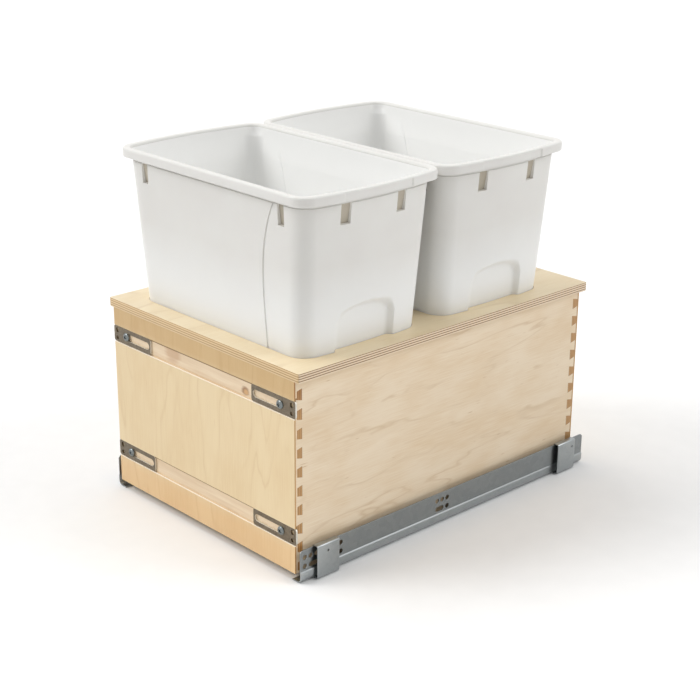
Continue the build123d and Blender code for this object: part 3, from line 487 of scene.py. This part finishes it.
def wall_at(height):
    """Thickness of the wall, which swells gently all round at the level of the notches."""
    above = neck_height + SWELL_END
    share = (above - height) / (above - notch_foot)
    if height < notch_foot:
        share = max(1.0 - (notch_foot - height) / SWELL_LENGTH, 0.0)
        share = share * share * (3.0 - 2.0 * share)
    return WALL + NOTCH_SWELL * share


def notch_relief(along, middle, half, height, inside):
    """Depth of a notch: a crisp pocket that leaves a thin back, and nothing inside."""
    beside = abs(along - middle) < half + TOUCH
    level = notch_foot - TOUCH < height < notch_head + TOUCH
    return wall_at(height) - NOTCH_BACK if beside and level and not inside else 0.0


def side_relief(x, height, reach, inside):
    """Depth of a point on half a long side, x from its middle."""
    crease = crease_at(height)
    depth = 0.0
    if abs(x - crease) < TOUCH and not inside:
        depth = CREASE_GROOVE
    elif x > crease:
        fade = min(max((neck_height - height) / PANEL_FADE, 0.0), PANEL_INSIDE) if inside else 1.0
        depth = fade * CREASE_DEPTH * (reach - x) / (reach - crease)
    return depth + notch_relief(x, side_notch, side_notch_half, height, inside)


def end_relief(y, height, inside):
    """Depth of a point on half an end, y from its middle."""
    top = GRIP["top"] - GRIP["crown"] * min(y / GRIP["half"], 1.2) ** 2
    across = y - (GRIP["half"] - GRIP["corner"])
    above = height - (top - GRIP["corner"])
    beyond = math.hypot(max(across, 0.0), max(above, 0.0)) + min(max(across, above), 0.0)
    share = min(max(0.5 - (beyond - GRIP["corner"]) / GRIP["slope"], 0.0), 1.0)
    return GRIP["depth"] * share + notch_relief(y, end_notch, end_notch_half, height, inside)


print("Crease from", round(crease_at(0), 1), "mm at the base to", round(crease_at(neck_height), 1))

# %% [markdown]
# Next the columns. A quarter of the outline is divided unevenly: close together where a crease, a
# notch or the recess needs an edge, and far apart where the wall is plain. The quarter is then
# mirrored three times.

# %% Rings of points
CORNER_STEPS = 12
NOTCH_REACH = 143.5  # a shorter side pushes the columns of its notch together
GRIP_MARKS = (58.0, 53.0, 50.0, 48.5, 47.0, 44.0, 42.0)  # edges of the recess, low on an end
CORNER_MARKS = [58.0, 56.0, 54.0]  # plain columns beside the notch, high on an end
MARKS_FROM, MARKS_OVER = 340.0, 50.0  # the heights in which the one set turns into the other
DIP_HALF = 55.0  # half the length of the finger dip in the rim


def spread(marks, counts):
    """Places from mark to mark, each gap in its count of equal steps, without the last mark."""
    places = []
    for low, high, count in zip(marks, marks[1:], counts):
        places += [low + (high - low) * step / count for step in range(count)]
    return places


def notch_edges(middle, half):
    """The four lines of a notch: where each of its edges starts and ends."""
    return [middle - half - NOTCH_BLEND, middle - half, middle + half, middle + half + NOTCH_BLEND]


def side_columns(height, reach):
    """Places along half a long side, from its middle to the start of the corner."""
    squeeze = min(1.0, reach / NOTCH_REACH)
    crease = crease_at(height)
    edges = [edge * squeeze for edge in notch_edges(side_notch, side_notch_half)]
    marks = [0.0, crease - CREASE_BLEND, crease + CREASE_BLEND] + edges + [reach]
    return spread(marks, (5, 2, 2, 1, 2, 1, 2))


def end_columns(height, reach):
    """Places along half an end, from the corner to its middle."""
    notch_marks = CORNER_MARKS + notch_edges(end_notch, end_notch_half)[::-1]
    share = min(max((height - MARKS_FROM) / MARKS_OVER, 0.0), 1.0)
    marks = [low + share * (high - low) for low, high in zip(GRIP_MARKS, notch_marks)]
    return spread([reach] + marks + [0.0], (2, 1, 1, 1, 1, 4, 1, 8)) + [0.0]


def ring(size, height, relief=None, dip=0.0):
    """A closed row of points at a height. Relief is outside, inside, ends only or None, and dip
    sets the middle of the ends back."""
    width, bow, corner = size["width"], size["bow"], size["corner"]
    end_radius = (width ** 2 / 4 + bow ** 2) / (2 * bow)
    end_x = size["length"] / 2 - end_radius
    corner_y = width / 2 - corner
    corner_x = end_x + math.sqrt((end_radius - corner) ** 2 - corner_y ** 2)
    turn = math.atan2(corner_y, corner_x - end_x)
    inside = relief == "inside"
    quarter = []
    for x in side_columns(height, corner_x):
        depth = side_relief(x, height, corner_x, inside) if relief in ("outside", "inside") else 0.0
        quarter.append((x, width / 2 - depth))
    for step in range(CORNER_STEPS):
        angle = math.pi / 2 - (math.pi / 2 - turn) * step / CORNER_STEPS
        quarter.append((corner_x + corner * math.cos(angle), corner_y + corner * math.sin(angle)))
    for y in end_columns(height, corner_y + corner * math.sin(turn)):
        depth = end_relief(y, height, inside) if relief else dip * (y < DIP_HALF)
        angle = math.asin(y / end_radius)
        radius = end_radius - depth
        quarter.append((end_x + radius * math.cos(angle), radius * math.sin(angle)))
    half = quarter + [(x, -y) for x, y in quarter[-2::-1]]
    return [Vector((x, y, height)) for x, y in half + [(-x, y) for x, y in half[-2:0:-1]]]


print("Points in one ring of a bin:", len(ring(NECK, neck_height)))

# %% [markdown]
# One bin is a single skin: up the outside, under and round the rim, over the mouth and down the
# inside to the floor. The rim is a short skirt with a rounded upper edge, set back a little in the
# middle of the ends, where fingers go. A fine groove in the neck under the skirt draws the thin
# dark line that parts the rim from the wall.

# %% Loft a bin
GROOVE, SKIRT_FOOT = 0.7, neck_height + 2.6
RIM_DIP, EDGE_DIP = 1.7, 0.9
FOOT_ROWS = ((1.2, 16.0), (0.0, 11.0), (0.0, 6.0), (0.7, 3.2), (2.4, 1.1))  # height and inset
FLOOR_ROWS = ((14.0, 0.0), (9.0, 0.8), (5.6, 2.6), (3.7, 5.2), (FLOOR, 9.0))
MOUTH_ROWS = ((10.6, 6.0), (11.1, 10.0))  # inset and depth


def body_ring(height, inset, relief=None):
    """A ring of the wall, drawn an inset further in."""
    return ring(smaller(size_at(height), inset), height, relief)


def bin_rings():
    """The rings of a bin in order along its skin: first those outside, then those inside."""
    rings = [body_ring(height, inset) for height, inset in FOOT_ROWS]
    heights = [6.0, *range(20, 261, 20), *range(268, 305, 2), *range(310, 401, 6)]
    heights += [notch_foot - NOTCH_BLEND, notch_foot, 410, 417, notch_head]
    rings += [body_ring(height, 0.0, "outside") for height in heights]
    under_rim = [notch_head + NOTCH_BLEND, neck_height]
    rings += [body_ring(height, GROOVE, "outside") for height in under_rim]
    rings += [ring(smaller(RIM, 9.4), neck_height + 6.0)]
    heights += under_rim
    top = bin_height
    skirt = [(6.6, top - 3.2), (3.4, top - 2.6), (2.6, top - 4.0), (2.2, SKIRT_FOOT + 0.3),
             (1.8, SKIRT_FOOT), (0.4, SKIRT_FOOT), (0.0, SKIRT_FOOT + 0.4), (0.0, top - 2.8)]
    edge = [(0.2, top - 1.7), (0.7, top - 0.8)]
    lip = [(1.5, top - 0.2), (2.6, top), (6.4, top), (8.0, top - 0.2), (9.0, top - 0.8), (9.7, top - 1.9)]
    for rows, dip in ((skirt, RIM_DIP), (edge, EDGE_DIP), (lip, 0.0)):
        rings += [ring(smaller(RIM, inset), height, dip=dip) for inset, height in rows]
    inner = [ring(smaller(RIM, 10.1), top - 3.4)]
    inner += [ring(smaller(RIM, inset), top - down, "inside") for inset, down in MOUTH_ROWS]
    inner += [body_ring(height, wall_at(height), "inside") for height in heights[:0:-1]]
    inner += [body_ring(height, WALL + inset) for height, inset in FLOOR_ROWS]
    return rings, inner


def mesh_of(shape, name):
    """The mesh of a shape that is ready."""
    mesh = bpy.data.meshes.new(name)
    shape.to_mesh(mesh)
    shape.free()
    return mesh


def loft(name, rings, inside_from=None):
    """Joins neighbouring rings with faces and closes the first and the last one. Faces from a ring
    on may take the second material."""
    shape = bmesh.new()
    rows = [[shape.verts.new(point * MM) for point in points] for points in rings]
    for number, (lower, upper) in enumerate(zip(rows, rows[1:])):
        for k in range(len(lower)):
            face = shape.faces.new((lower[k], lower[k - 1], upper[k - 1], upper[k]))
            face.material_index = int(inside_from is not None and number >= inside_from)
    shape.faces.new(rows[0])
    shape.faces.new(rows[-1][::-1]).material_index = int(inside_from is not None)
    bmesh.ops.recalc_face_normals(shape, faces=shape.faces)
    return mesh_of(shape, name)


def show(thing):
    """Links an object to the scene."""
    bpy.context.scene.collection.objects.link(thing)


def settle(name, mesh, materials, body, slot, *nodes, sharp=35):
    """Puts a mesh in the scene as a piece: shaded smooth, riding a body, standing for CAD nodes."""
    for material in materials:
        mesh.materials.append(material)
    mesh.shade_smooth()
    mesh.set_sharp_from_angle(angle=math.radians(sharp))
    piece = bpy.data.objects.new(name, mesh)
    show(piece)
    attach(piece, body)
    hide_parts(*nodes)


shift = Matrix.Translation  # a plain move, as a matrix
BINS = ("front_bin", "rear_bin")
outside, inside = bin_rings()
for body in BINS:
    low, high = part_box(body)
    mesh = loft(f"{body}_moulding", outside + inside, len(outside))
    # Painted shade: faces of the outside that lie in a notch take the dull beige finish.
    for face in mesh.polygons:
        x, y, z = [abs(v) / MM for v in face.center]
        beside = min(abs(x - side_notch) - side_notch_half, abs(y - end_notch) - end_notch_half)
        if face.material_index == 0 and notch_foot < z < notch_head and beside < 0:
            face.material_index = 2
    mesh.transform(shift(((low[X] + high[X]) / 2, (low[Y] + high[Y]) / 2, low[Z])))
    settle(f"{body}_moulding", mesh, bin_finishes, body, "white_polypropylene", body)
    print(body, "has", len(mesh.polygons), "faces")

# %% [markdown]
# ## Sheet metal and plates
# The top panel, the door brackets, the rails and their clips are all flat or folded stock with
# holes. A filled 2D curve is the closest thing Blender has to such a drawing: outlines inside an
# outline become holes, extrude gives the thickness, and the curve's own bevel eases every edge at
# once. Drawn end on, the same tool makes a folded sheet of any length. Outlines are given by their
# corners, each with its radius, so that a circle is a square whose corners are as round as they can
# be.

# %% Plates from drawings
def round_corners(corners, closed=True, steps=6):
    """Points of a line through corners, each (x, y, radius) in mm, with the corners rounded."""
    points = []
    for k, (x, y, radius) in enumerate(corners):
        here = Vector((x, y))
        back = (Vector(corners[k - 1][:2]) - here).normalized()
        ahead = (Vector(corners[(k + 1) % len(corners)][:2]) - here).normalized()
        if radius == 0 or not closed and k in (0, len(corners) - 1):
            points.append(here)
            continue
        half = back.angle(ahead) / 2
        centre = here + (back + ahead).normalized() * radius / math.sin(half)
        arm = here + back * radius / math.tan(half) - centre
        sweep = math.copysign(math.pi - 2 * half, ahead.cross(back))
        for step in range(steps + 1):
            spot = centre + Matrix.Rotation(sweep * step / steps, 2) @ arm
            if not points or (spot - points[-1]).length > 0.001:
                points.append(spot)
    return points


def oblong(x, y, length, height, radius, steps=6):
    """A rectangle with round corners about its middle, anticlockwise."""
    across, up = length / 2, height / 2
    signs = ((-1, -1), (1, -1), (1, 1), (-1, 1))
    return round_corners([(x + a * across, y + b * up, radius) for a, b in signs], steps=steps)


def disc(x, y, size, steps=5):
    """The outline of a round hole."""
    return oblong(x, y, size, size, size / 2, steps)


def plate(name, outlines, thickness, ease, place):
    """A plate drawn in mm by its outline and those of its holes, its edges eased, put in place."""
    drawing = bpy.data.curves.new(name, "CURVE")
    drawing.dimensions = "2D"
    drawing.fill_mode = "BOTH"
    drawing.extrude = thickness / 2 - ease
    drawing.bevel_depth = ease
    drawing.bevel_resolution = 1
    drawing.offset = -ease
    for number, outline in enumerate(outlines):
        spline = drawing.splines.new("POLY")
        spline.points.add(len(outline) - 1)
        spline.use_cyclic_u = True
        for point, spot in zip(spline.points, outline if number == 0 else outline[::-1]):
            point.co = (spot[0], spot[1], 0.0, 1.0)
    holder = bpy.data.objects.new(name, drawing)
    mesh = bpy.data.meshes.new_from_object(holder)
    bpy.data.objects.remove(holder)
    bpy.data.curves.remove(drawing)
    mesh.transform(place @ Matrix.Scale(MM, 4))
    return mesh


print("A round hole has", len(disc(0, 0, 5)), "corners")

# %% [markdown]
# The top panel lies flat on the box. Its two cut-outs follow the outline of the bins at that
# height, with a little play, so the bins stand straight and can be lifted out. Even the recess in
# the ends is followed: a short tongue of the board reaches into it.

# %% Top panel
CUT_PLAY, TOP_CORNER, TOP_EASE = 0.4, 3.0, 0.8
length, width, board = [v / MM for v in top_high - top_low]
top_middle = (top_low + top_high) / 2
outlines = [oblong(top_middle[X] / MM, top_middle[Y] / MM, length, width, TOP_CORNER)]
cut_height = (top_high[Z] - bin_low[Z]) / MM
for body in BINS:
    low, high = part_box(body)
    centre = (low[Y] + high[Y]) / 2 / MM
    cut = ring(smaller(size_at(cut_height), -CUT_PLAY), cut_height, "ends only")
    outlines.append([(x, y + centre) for x, y, z in cut[::-1]])
mesh = plate("top_panel_board", outlines, board, TOP_EASE, shift((0, 0, top_middle[Z])))
settle("top_panel_board", mesh, [top_finish], "drawer", "birch_plywood", "top_panel")
print("Top panel:", round(length), "x", round(width), "mm with", len(outlines) - 1, "cut-outs")

# %% [markdown]
# ## Door brackets
# Four flat brackets sit in the channels. A door is screwed to the hole and the short slot at the
# outer end, and the long slot lets the bracket slide sideways until the door lines up. They are
# punched from thicker sheet, so the edges are bare, bright steel, and eased a little.

# %% Brackets
FACING_FRONT = Matrix(((1, 0, 0, 0), (0, 0, -1, 0), (0, 1, 0, 0), (0, 0, 0, 1)))  # seen from the door
SIDES = (("left", -1), ("right", 1))
BRACKET_CORNER, BRACKET_EASE = 3.0, 0.35
slot_start, slot_length, slot_height = 3.2, 54.0, 9.6
screw_from_slot_end = 4.0
hole_size, hole_end, hole_rise = 5.2, 7.2, 5.8
short_slot_rise, short_slot_height = 5.0, 6.8
for side, sign in SIDES:
    for level in ("upper", "lower"):
        node = f"{level}_door_bracket_{side}"
        low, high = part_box(node)
        length, thickness, width = [v / MM for v in high - low]
        slot_x = sign * (slot_start + slot_length / 2 - length / 2)
        hole_x = sign * (length / 2 - hole_end)
        outlines = [oblong(0, 0, length, width, BRACKET_CORNER),
                    oblong(slot_x, 0, slot_length, slot_height, slot_height / 2),
                    disc(hole_x, -hole_rise, hole_size),
                    oblong(hole_x, short_slot_rise, hole_size, short_slot_height, hole_size / 2, 5)]
        place = shift((low + high) / 2) @ FACING_FRONT
        mesh = plate(f"{node}_plate", outlines, thickness, BRACKET_EASE, place)
        settle(f"{node}_plate", mesh, (steels["bracket"], steels["sheared"]), node, "bracket_steel", node)
        for face in mesh.polygons:
            from_hole = abs(face.center[X] / MM - (low[X] + high[X]) / 2 / MM - hole_x)
            bare = abs(face.normal[Y]) < 0.8 and from_hole > hole_size / 2 + 0.2
            face.material_index = int(bare)
print("Four brackets of", round(length), "x", round(width), "x", round(thickness, 1), "mm")

# %% [markdown]
# Each bracket is held by a pan-head screw with a cross recess. The head is a small loft of circles,
# and the recess is a cross-shaped plate that a Boolean modifier takes out of it.

# %% Bracket screws
HEAD = ((5.75, 0.0), (5.75, 0.5), (5.5, 1.2), (4.9, 1.8), (3.9, 2.25), (2.4, 2.52), (0.8, 2.6))
HEAD_POINTS = 32
CROSS_LENGTH, CROSS_WIDTH, CROSS_DEPTH = 5.6, 1.5, 1.5


def punch(mesh, cutter):
    """Cuts one mesh out of another."""
    body, tool = [bpy.data.objects.new(part.name, part) for part in (mesh, cutter)]
    for part in (body, tool):
        show(part)
    cut = body.modifiers.new("punch", "BOOLEAN")
    cut.operation = "DIFFERENCE"
    cut.solver = "EXACT"
    cut.object = tool
    result = bpy.data.meshes.new_from_object(body.evaluated_get(bpy.context.evaluated_depsgraph_get()))
    for part in (body, tool):
        bpy.data.objects.remove(part)
    return result


def joined(name, meshes):
    """One mesh out of several."""
    shape = bmesh.new()
    for mesh in meshes:
        shape.from_mesh(mesh)
    return mesh_of(shape, name)


angles = [k * math.tau / HEAD_POINTS for k in range(HEAD_POINTS)]
circles = [[Vector((radius * math.cos(angle), radius * math.sin(angle), rise)) for angle in angles]
           for radius, rise in HEAD]
arm, half = CROSS_LENGTH / 2, CROSS_WIDTH / 2
cross = [(half, half), (arm, half), (arm, -half), (half, -half), (half, -arm), (-half, -arm),
         (-half, -half), (-arm, -half), (-arm, half), (-half, half), (-half, arm), (half, arm)][::-1]
head_top = shift((0, 0, HEAD[-1][1] * MM))
head = punch(loft("pan_head", circles), plate("cross_recess", [cross], 2 * CROSS_DEPTH, 0.0, head_top))
heads = []
for side, sign in SIDES:
    for level, twist in (("upper", 20), ("lower", 65)):
        low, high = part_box(f"{level}_door_bracket_{side}")
        inner = low[X] if sign > 0 else high[X]
        along = (slot_start + slot_length - screw_from_slot_end) * MM
        spot = Vector((inner + sign * along, low[Y], (low[Z] + high[Z]) / 2))
        turned = Matrix.Rotation(math.radians(twist * sign), 4, "Z")
        copy = head.copy()
        copy.transform(shift(spot) @ FACING_FRONT @ turned)
        heads.append(copy)
settle("bracket_screw_heads", joined("bracket_screw_heads", heads), [steels["screw"]], "drawer",
       "zinc_screw", "door_bracket_screws", sharp=30)
print("Four screw heads of", 2 * HEAD[0][0], "mm")

# %% [markdown]
# ## Cabinet rails and spacer clips
# The rails are screwed to the cabinet. Each is one sheet: an upright web with rows of holes, a
# small step outwards near the bottom, a large bend, and a foot that the slide rests on. The web is
# drawn from the side and the rest from the end. The foot is cut back at the front, and the bar of
# the slide's track, a copy of the CAD mesh, starts behind that.

# %% Rails
SEEN_FROM_SIDE = Matrix(((0, 0, 1, 0), (1, 0, 0, 0), (0, 1, 0, 0), (0, 0, 0, 1)))
RAIL_SHEET, RAIL_HOLE, RAIL_CORNER, RAIL_EASE = 1.5, 6.6, 5, 0.5
UPPER_ROW, LOWER_ROW = 33.5, 21.5
hole_rows = {UPPER_ROW: (7.5, 17.0, 26.5, 66.2, 237.0, 246.5, 256.0), LOWER_ROW: (7.5, 66.2, 256.0)}
slot_margins, SLOT_LENGTH = (21.8, 241.8), 15.0
WEB_FOOT, STEP_FOOT, STEP_OUT = 15.1, 13.5, 0.9
STEP_BEND, FOOT_BEND, BEND_TOP = 1.0, 5.75, 15.0
FOOT_NOSE, NOSE_LENGTH, NOSE_SLOPE = 16.0, 17.0, 16.0
TRACK_SETBACK = 7
WASTE_DEPTH = 8.0  # of the plate that cuts the foot back
FOLD_EASE = 0.2


def folded(name, corners, gauge, length, place):
    """A folded sheet from the corners of the line along its middle."""
    line = round_corners(corners, closed=False)
    steps = [(b - a).normalized() for a, b in zip(line, line[1:])]
    one, other = [], []
    for k, spot in enumerate(line):
        before, after = steps[max(k - 1, 0)], steps[min(k, len(steps) - 1)]
        lean = (before + after) / (1 + before.dot(after))
        offset = Vector((-lean.y, lean.x)) * gauge / 2
        one.append(spot + offset)
        other.append(spot - offset)
    return plate(name, [other + one[::-1]], length, FOLD_EASE, place)


def end_view(low, high):
    """Where a drawing seen from the door goes, half way along a box."""
    return shift((0, (low[Y] + high[Y]) / 2, 0)) @ FACING_FRONT


def cut_front(mesh, place):
    """Takes away what lies in front of a place, and closes the cut."""
    shape = bmesh.new()
    shape.from_mesh(mesh)
    bmesh.ops.remove_doubles(shape, verts=shape.verts, dist=0.001 * MM)
    everything = shape.verts[:] + shape.edges[:] + shape.faces[:]
    cut = bmesh.ops.bisect_plane(shape, geom=everything, plane_co=(0, place, 0), plane_no=(0, -1, 0),
                                 clear_outer=True)
    rim = [edge for edge in cut["geom_cut"] if isinstance(edge, bmesh.types.BMEdge)]
    bmesh.ops.edgenet_fill(shape, edges=rim)
    shape.to_mesh(mesh)
    shape.free()


for side, sign in SIDES:
    low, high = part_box(f"cabinet_rail_{side}")
    front, length = low[Y] / MM, (high[Y] - low[Y]) / MM
    top, reach = high[Z] / MM, max(high[X], -low[X]) / MM
    foot_end = min(abs(low[X]), abs(high[X])) / MM
    half = RAIL_SHEET / 2
    web = reach - STEP_OUT - half
    outlines = [round_corners([(0, WEB_FOOT, 0), (length, WEB_FOOT, 0), (length, top, RAIL_CORNER),
                               (0, top, RAIL_CORNER)])]
    outlines += [disc(margin, row, RAIL_HOLE) for row, margins in hole_rows.items() for margin in margins]
    outlines += [oblong(margin, LOWER_ROW, SLOT_LENGTH, RAIL_HOLE, RAIL_HOLE / 2)
                 for margin in slot_margins]
    place = shift((sign * web * MM, low[Y], 0)) @ SEEN_FROM_SIDE
    upright = plate("web", outlines, RAIL_SHEET, RAIL_EASE, place)
    bend = [(web, WEB_FOOT, 0), (reach - half, STEP_FOOT, STEP_BEND), (reach - half, half, FOOT_BEND),
            (foot_end, half, 0)]
    line = [(sign * x, z, radius) for x, z, radius in bend]
    foot = folded("foot", line, RAIL_SHEET, length, end_view(low, high))
    nose = reach - FOOT_NOSE
    corner = [(nose, front - 1), (nose, front + NOSE_LENGTH),
              (foot_end - 1, front + NOSE_LENGTH + NOSE_SLOPE), (foot_end - 1, front - 1)]
    outline = [(sign * x, y) for x, y in corner][::sign]
    foot = punch(foot, plate("foot_corner", [outline], WASTE_DEPTH, 0.0, Matrix()))
    mesh = joined("rail_sheet", [upright, foot])
    settle(f"cabinet_rail_{side}_sheet", mesh, (steels["rail"], steels["clip"]), "cabinet",
           "galvanised_steel", f"cabinet_rail_{side}")
    # Painted light: below the bend the sheet takes the lighter clip steel, a painted reflection of the
    # bright surroundings.
    for face in mesh.polygons:
        face.material_index = int(face.center[Z] < BEND_TOP * MM)
    track = frame["nodes"][f"cabinet_track_{side}"].data.copy()
    track.materials.clear()
    cut_front(track, (front + NOSE_LENGTH + TRACK_SETBACK) * MM)
    settle(f"cabinet_track_{side}_bar", track, [steels["rail"]], "cabinet", "galvanised_steel",
           f"cabinet_track_{side}", sharp=30)
print("Two rails", round(length, 1), "mm long, web at", round(web, 2), "mm from the middle")

# %% [markdown]
# Two clips on each rail are hooked over the web and fill the space to the cabinet wall. Each is one
# folded strip with a small hole, so the line along its middle, seen from the door, says it all.

# %% Spacer clips
CLIP_SHEET, CLIP_HOLE, HOLE_HEIGHT = 1.2, 3.0, 35
HOOK_LENGTH, HOOK_BEND, CLIP_BEND, FOOT_GAP = 6, 0.9, 1.4, 1.6
clip_holes = {"front": 17.7, "rear": 30.0}
for side, sign in SIDES:
    for end in ("front", "rear"):
        node = f"{end}_spacer_clip_{side}"
        low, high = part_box(node)
        outer, inner = [v / MM for v in ((high[X], low[X]) if sign > 0 else (-low[X], -high[X]))]
        half = CLIP_SHEET / 2
        top, bottom = high[Z] / MM - half, low[Z] / MM + half
        path = [(inner + half, top - HOOK_LENGTH, 0), (inner + half, top, HOOK_BEND),
                (outer - half, top, CLIP_BEND), (outer - half, bottom, CLIP_BEND),
                (inner + FOOT_GAP, bottom, 0)]
        line = [(sign * x, z, radius) for x, z, radius in path]
        sheet = folded(f"{node}_sheet", line, CLIP_SHEET, (high[Y] - low[Y]) / MM, end_view(low, high))
        spot = Vector((sign * outer * MM, low[Y] + clip_holes[end] * MM, HOLE_HEIGHT * MM))
        place = shift(spot) @ SEEN_FROM_SIDE
        hole = plate("clip_hole", [disc(0, 0, CLIP_HOLE, 4)], 2 * CLIP_HOLE, 0.0, place)
        settle(f"{node}_sheet", punch(sheet, hole), [steels["clip"]], "cabinet", "galvanised_steel", node)
print("Four clips of", CLIP_SHEET, "mm sheet")

# %% [markdown]
# ## Floor, light and camera
# The set is a pale floor that runs out to a white background. It lies a hair below the slides, so
# that the two never share a surface.

# %% Floor
FLOOR_HALF, FLOOR_DROP = 6.0, 0.5 * MM
MOTTLE_WIDTH = 1 / 30
# pale studio floor: an almost even off-white, matt enough to show soft shadows and no reflection
floor_material, tree, shader = new_finish("pale_studio_floor", {"Roughness": 0.7, "IOR": 1.45})
here = add(tree, "ShaderNodeTexCoord").outputs["Object"]
mottle = add(tree, "ShaderNodeTexNoise", {"Vector": here, "Scale": 1 / MOTTLE_WIDTH,
                                          "Detail": 3.0}).outputs[0]
pale = add(tree, "ShaderNodeValToRGB", {"Fac": mottle},
           [(0.3, linear("#f4f4f4")), (0.7, linear("#f6f6f6"))]).outputs[0]
connect(tree, shader, {"Base Color": pale})
shape = bmesh.new()
bmesh.ops.create_grid(shape, x_segments=8, y_segments=8, size=FLOOR_HALF)
floor_mesh = mesh_of(shape, "studio_floor")
floor_mesh.materials.append(floor_material)
floor = bpy.data.objects.new("studio_floor", floor_mesh)
floor.location.z = -FLOOR_DROP
show(floor)
print("Floor under the lowest point of the slides")

# %% [markdown]
# The world is plain white where it is seen, straight or in a reflection. As a lamp it is dimmer and
# fades out towards the front and the floor, so that the walls keep their shading. Three broad suns
# do the rest: a key from the upper left, a strong front light from the left, and a side light from
# the right rear that brightens the long side of the box.

# %% World and lamps
DIM_WAY = (0.4, -1.2, -1.4)  # the way in which the world fades out
world = bpy.data.worlds.new("white_studio")
bpy.context.scene.world = world
world.use_nodes = True
sky = world.node_tree
sky.nodes.clear()
way = add(sky, "ShaderNodeTexCoord").outputs["Generated"]
turned = add(sky, "ShaderNodeVectorMath", {0: way, 1: DIM_WAY}, operation="DOT_PRODUCT").outputs["Value"]
level = add(sky, "ShaderNodeMapRange", {"Value": turned, "From Min": -1.0, "To Min": 0.8,
                                        "To Max": 0.0}).outputs[0]
rays = add(sky, "ShaderNodeLightPath").outputs
for ray in ("Is Camera Ray", "Is Glossy Ray", "Is Transmission Ray"):
    level = add(sky, "ShaderNodeMath", {0: level, 1: rays[ray]}, operation="MAXIMUM").outputs[0]
glow = add(sky, "ShaderNodeBackground", {"Color": linear("#ffffff"), "Strength": level})
add(sky, "ShaderNodeOutputWorld", {"Surface": glow.outputs[0]})
LAMPS = (("key_light", (-0.9, -0.3, 1.8), 25, 0.53),  # where it stands, its breadth and strength
         ("front_light", (-1.0, -1.25, 1.2), 30, 1.38),
         ("side_light", (1.3, 1.0, 1.3), 30, 0.67))
for name, towards, breadth, strength in LAMPS:
    lamp = bpy.data.lights.new(name, "SUN")
    lamp.angle = math.radians(breadth)
    lamp.energy = strength
    holder = bpy.data.objects.new(name, lamp)
    holder.location = towards
    holder.rotation_euler = Vector(towards).to_track_quat("Z", "Y").to_euler()
    show(holder)
print("A world that is dim towards the front, and three broad lights")

# %% [markdown]
# The photograph was taken from the front right, a little above the bins, with a long lens that was
# shifted to keep the uprights level. The camera below isn't shifted. Its angle, distance and focal
# length bring the corners as close as they come, 8 pixels apart on average and 20 at most.

# %% Camera
lens = bpy.data.cameras.new("photo_camera")
lens.sensor_width = 36.0
lens.lens = 78.67
camera = bpy.data.objects.new("photo_camera", lens)
around, down, roll = math.radians(46.95), math.radians(20.38), math.radians(0.44)
camera.matrix_world = (shift((1.4273, -1.3419, 0.9125)) @ Matrix.Rotation(around, 4, "Z")
                       @ Matrix.Rotation(math.pi / 2 - down, 4, "X") @ Matrix.Rotation(roll, 4, "Z"))
show(camera)
bpy.context.scene.camera = camera
bpy.context.scene.view_settings.view_transform = "Standard"
print("Camera at", [round(v, 3) for v in camera.location], "with a lens of", lens.lens, "mm")
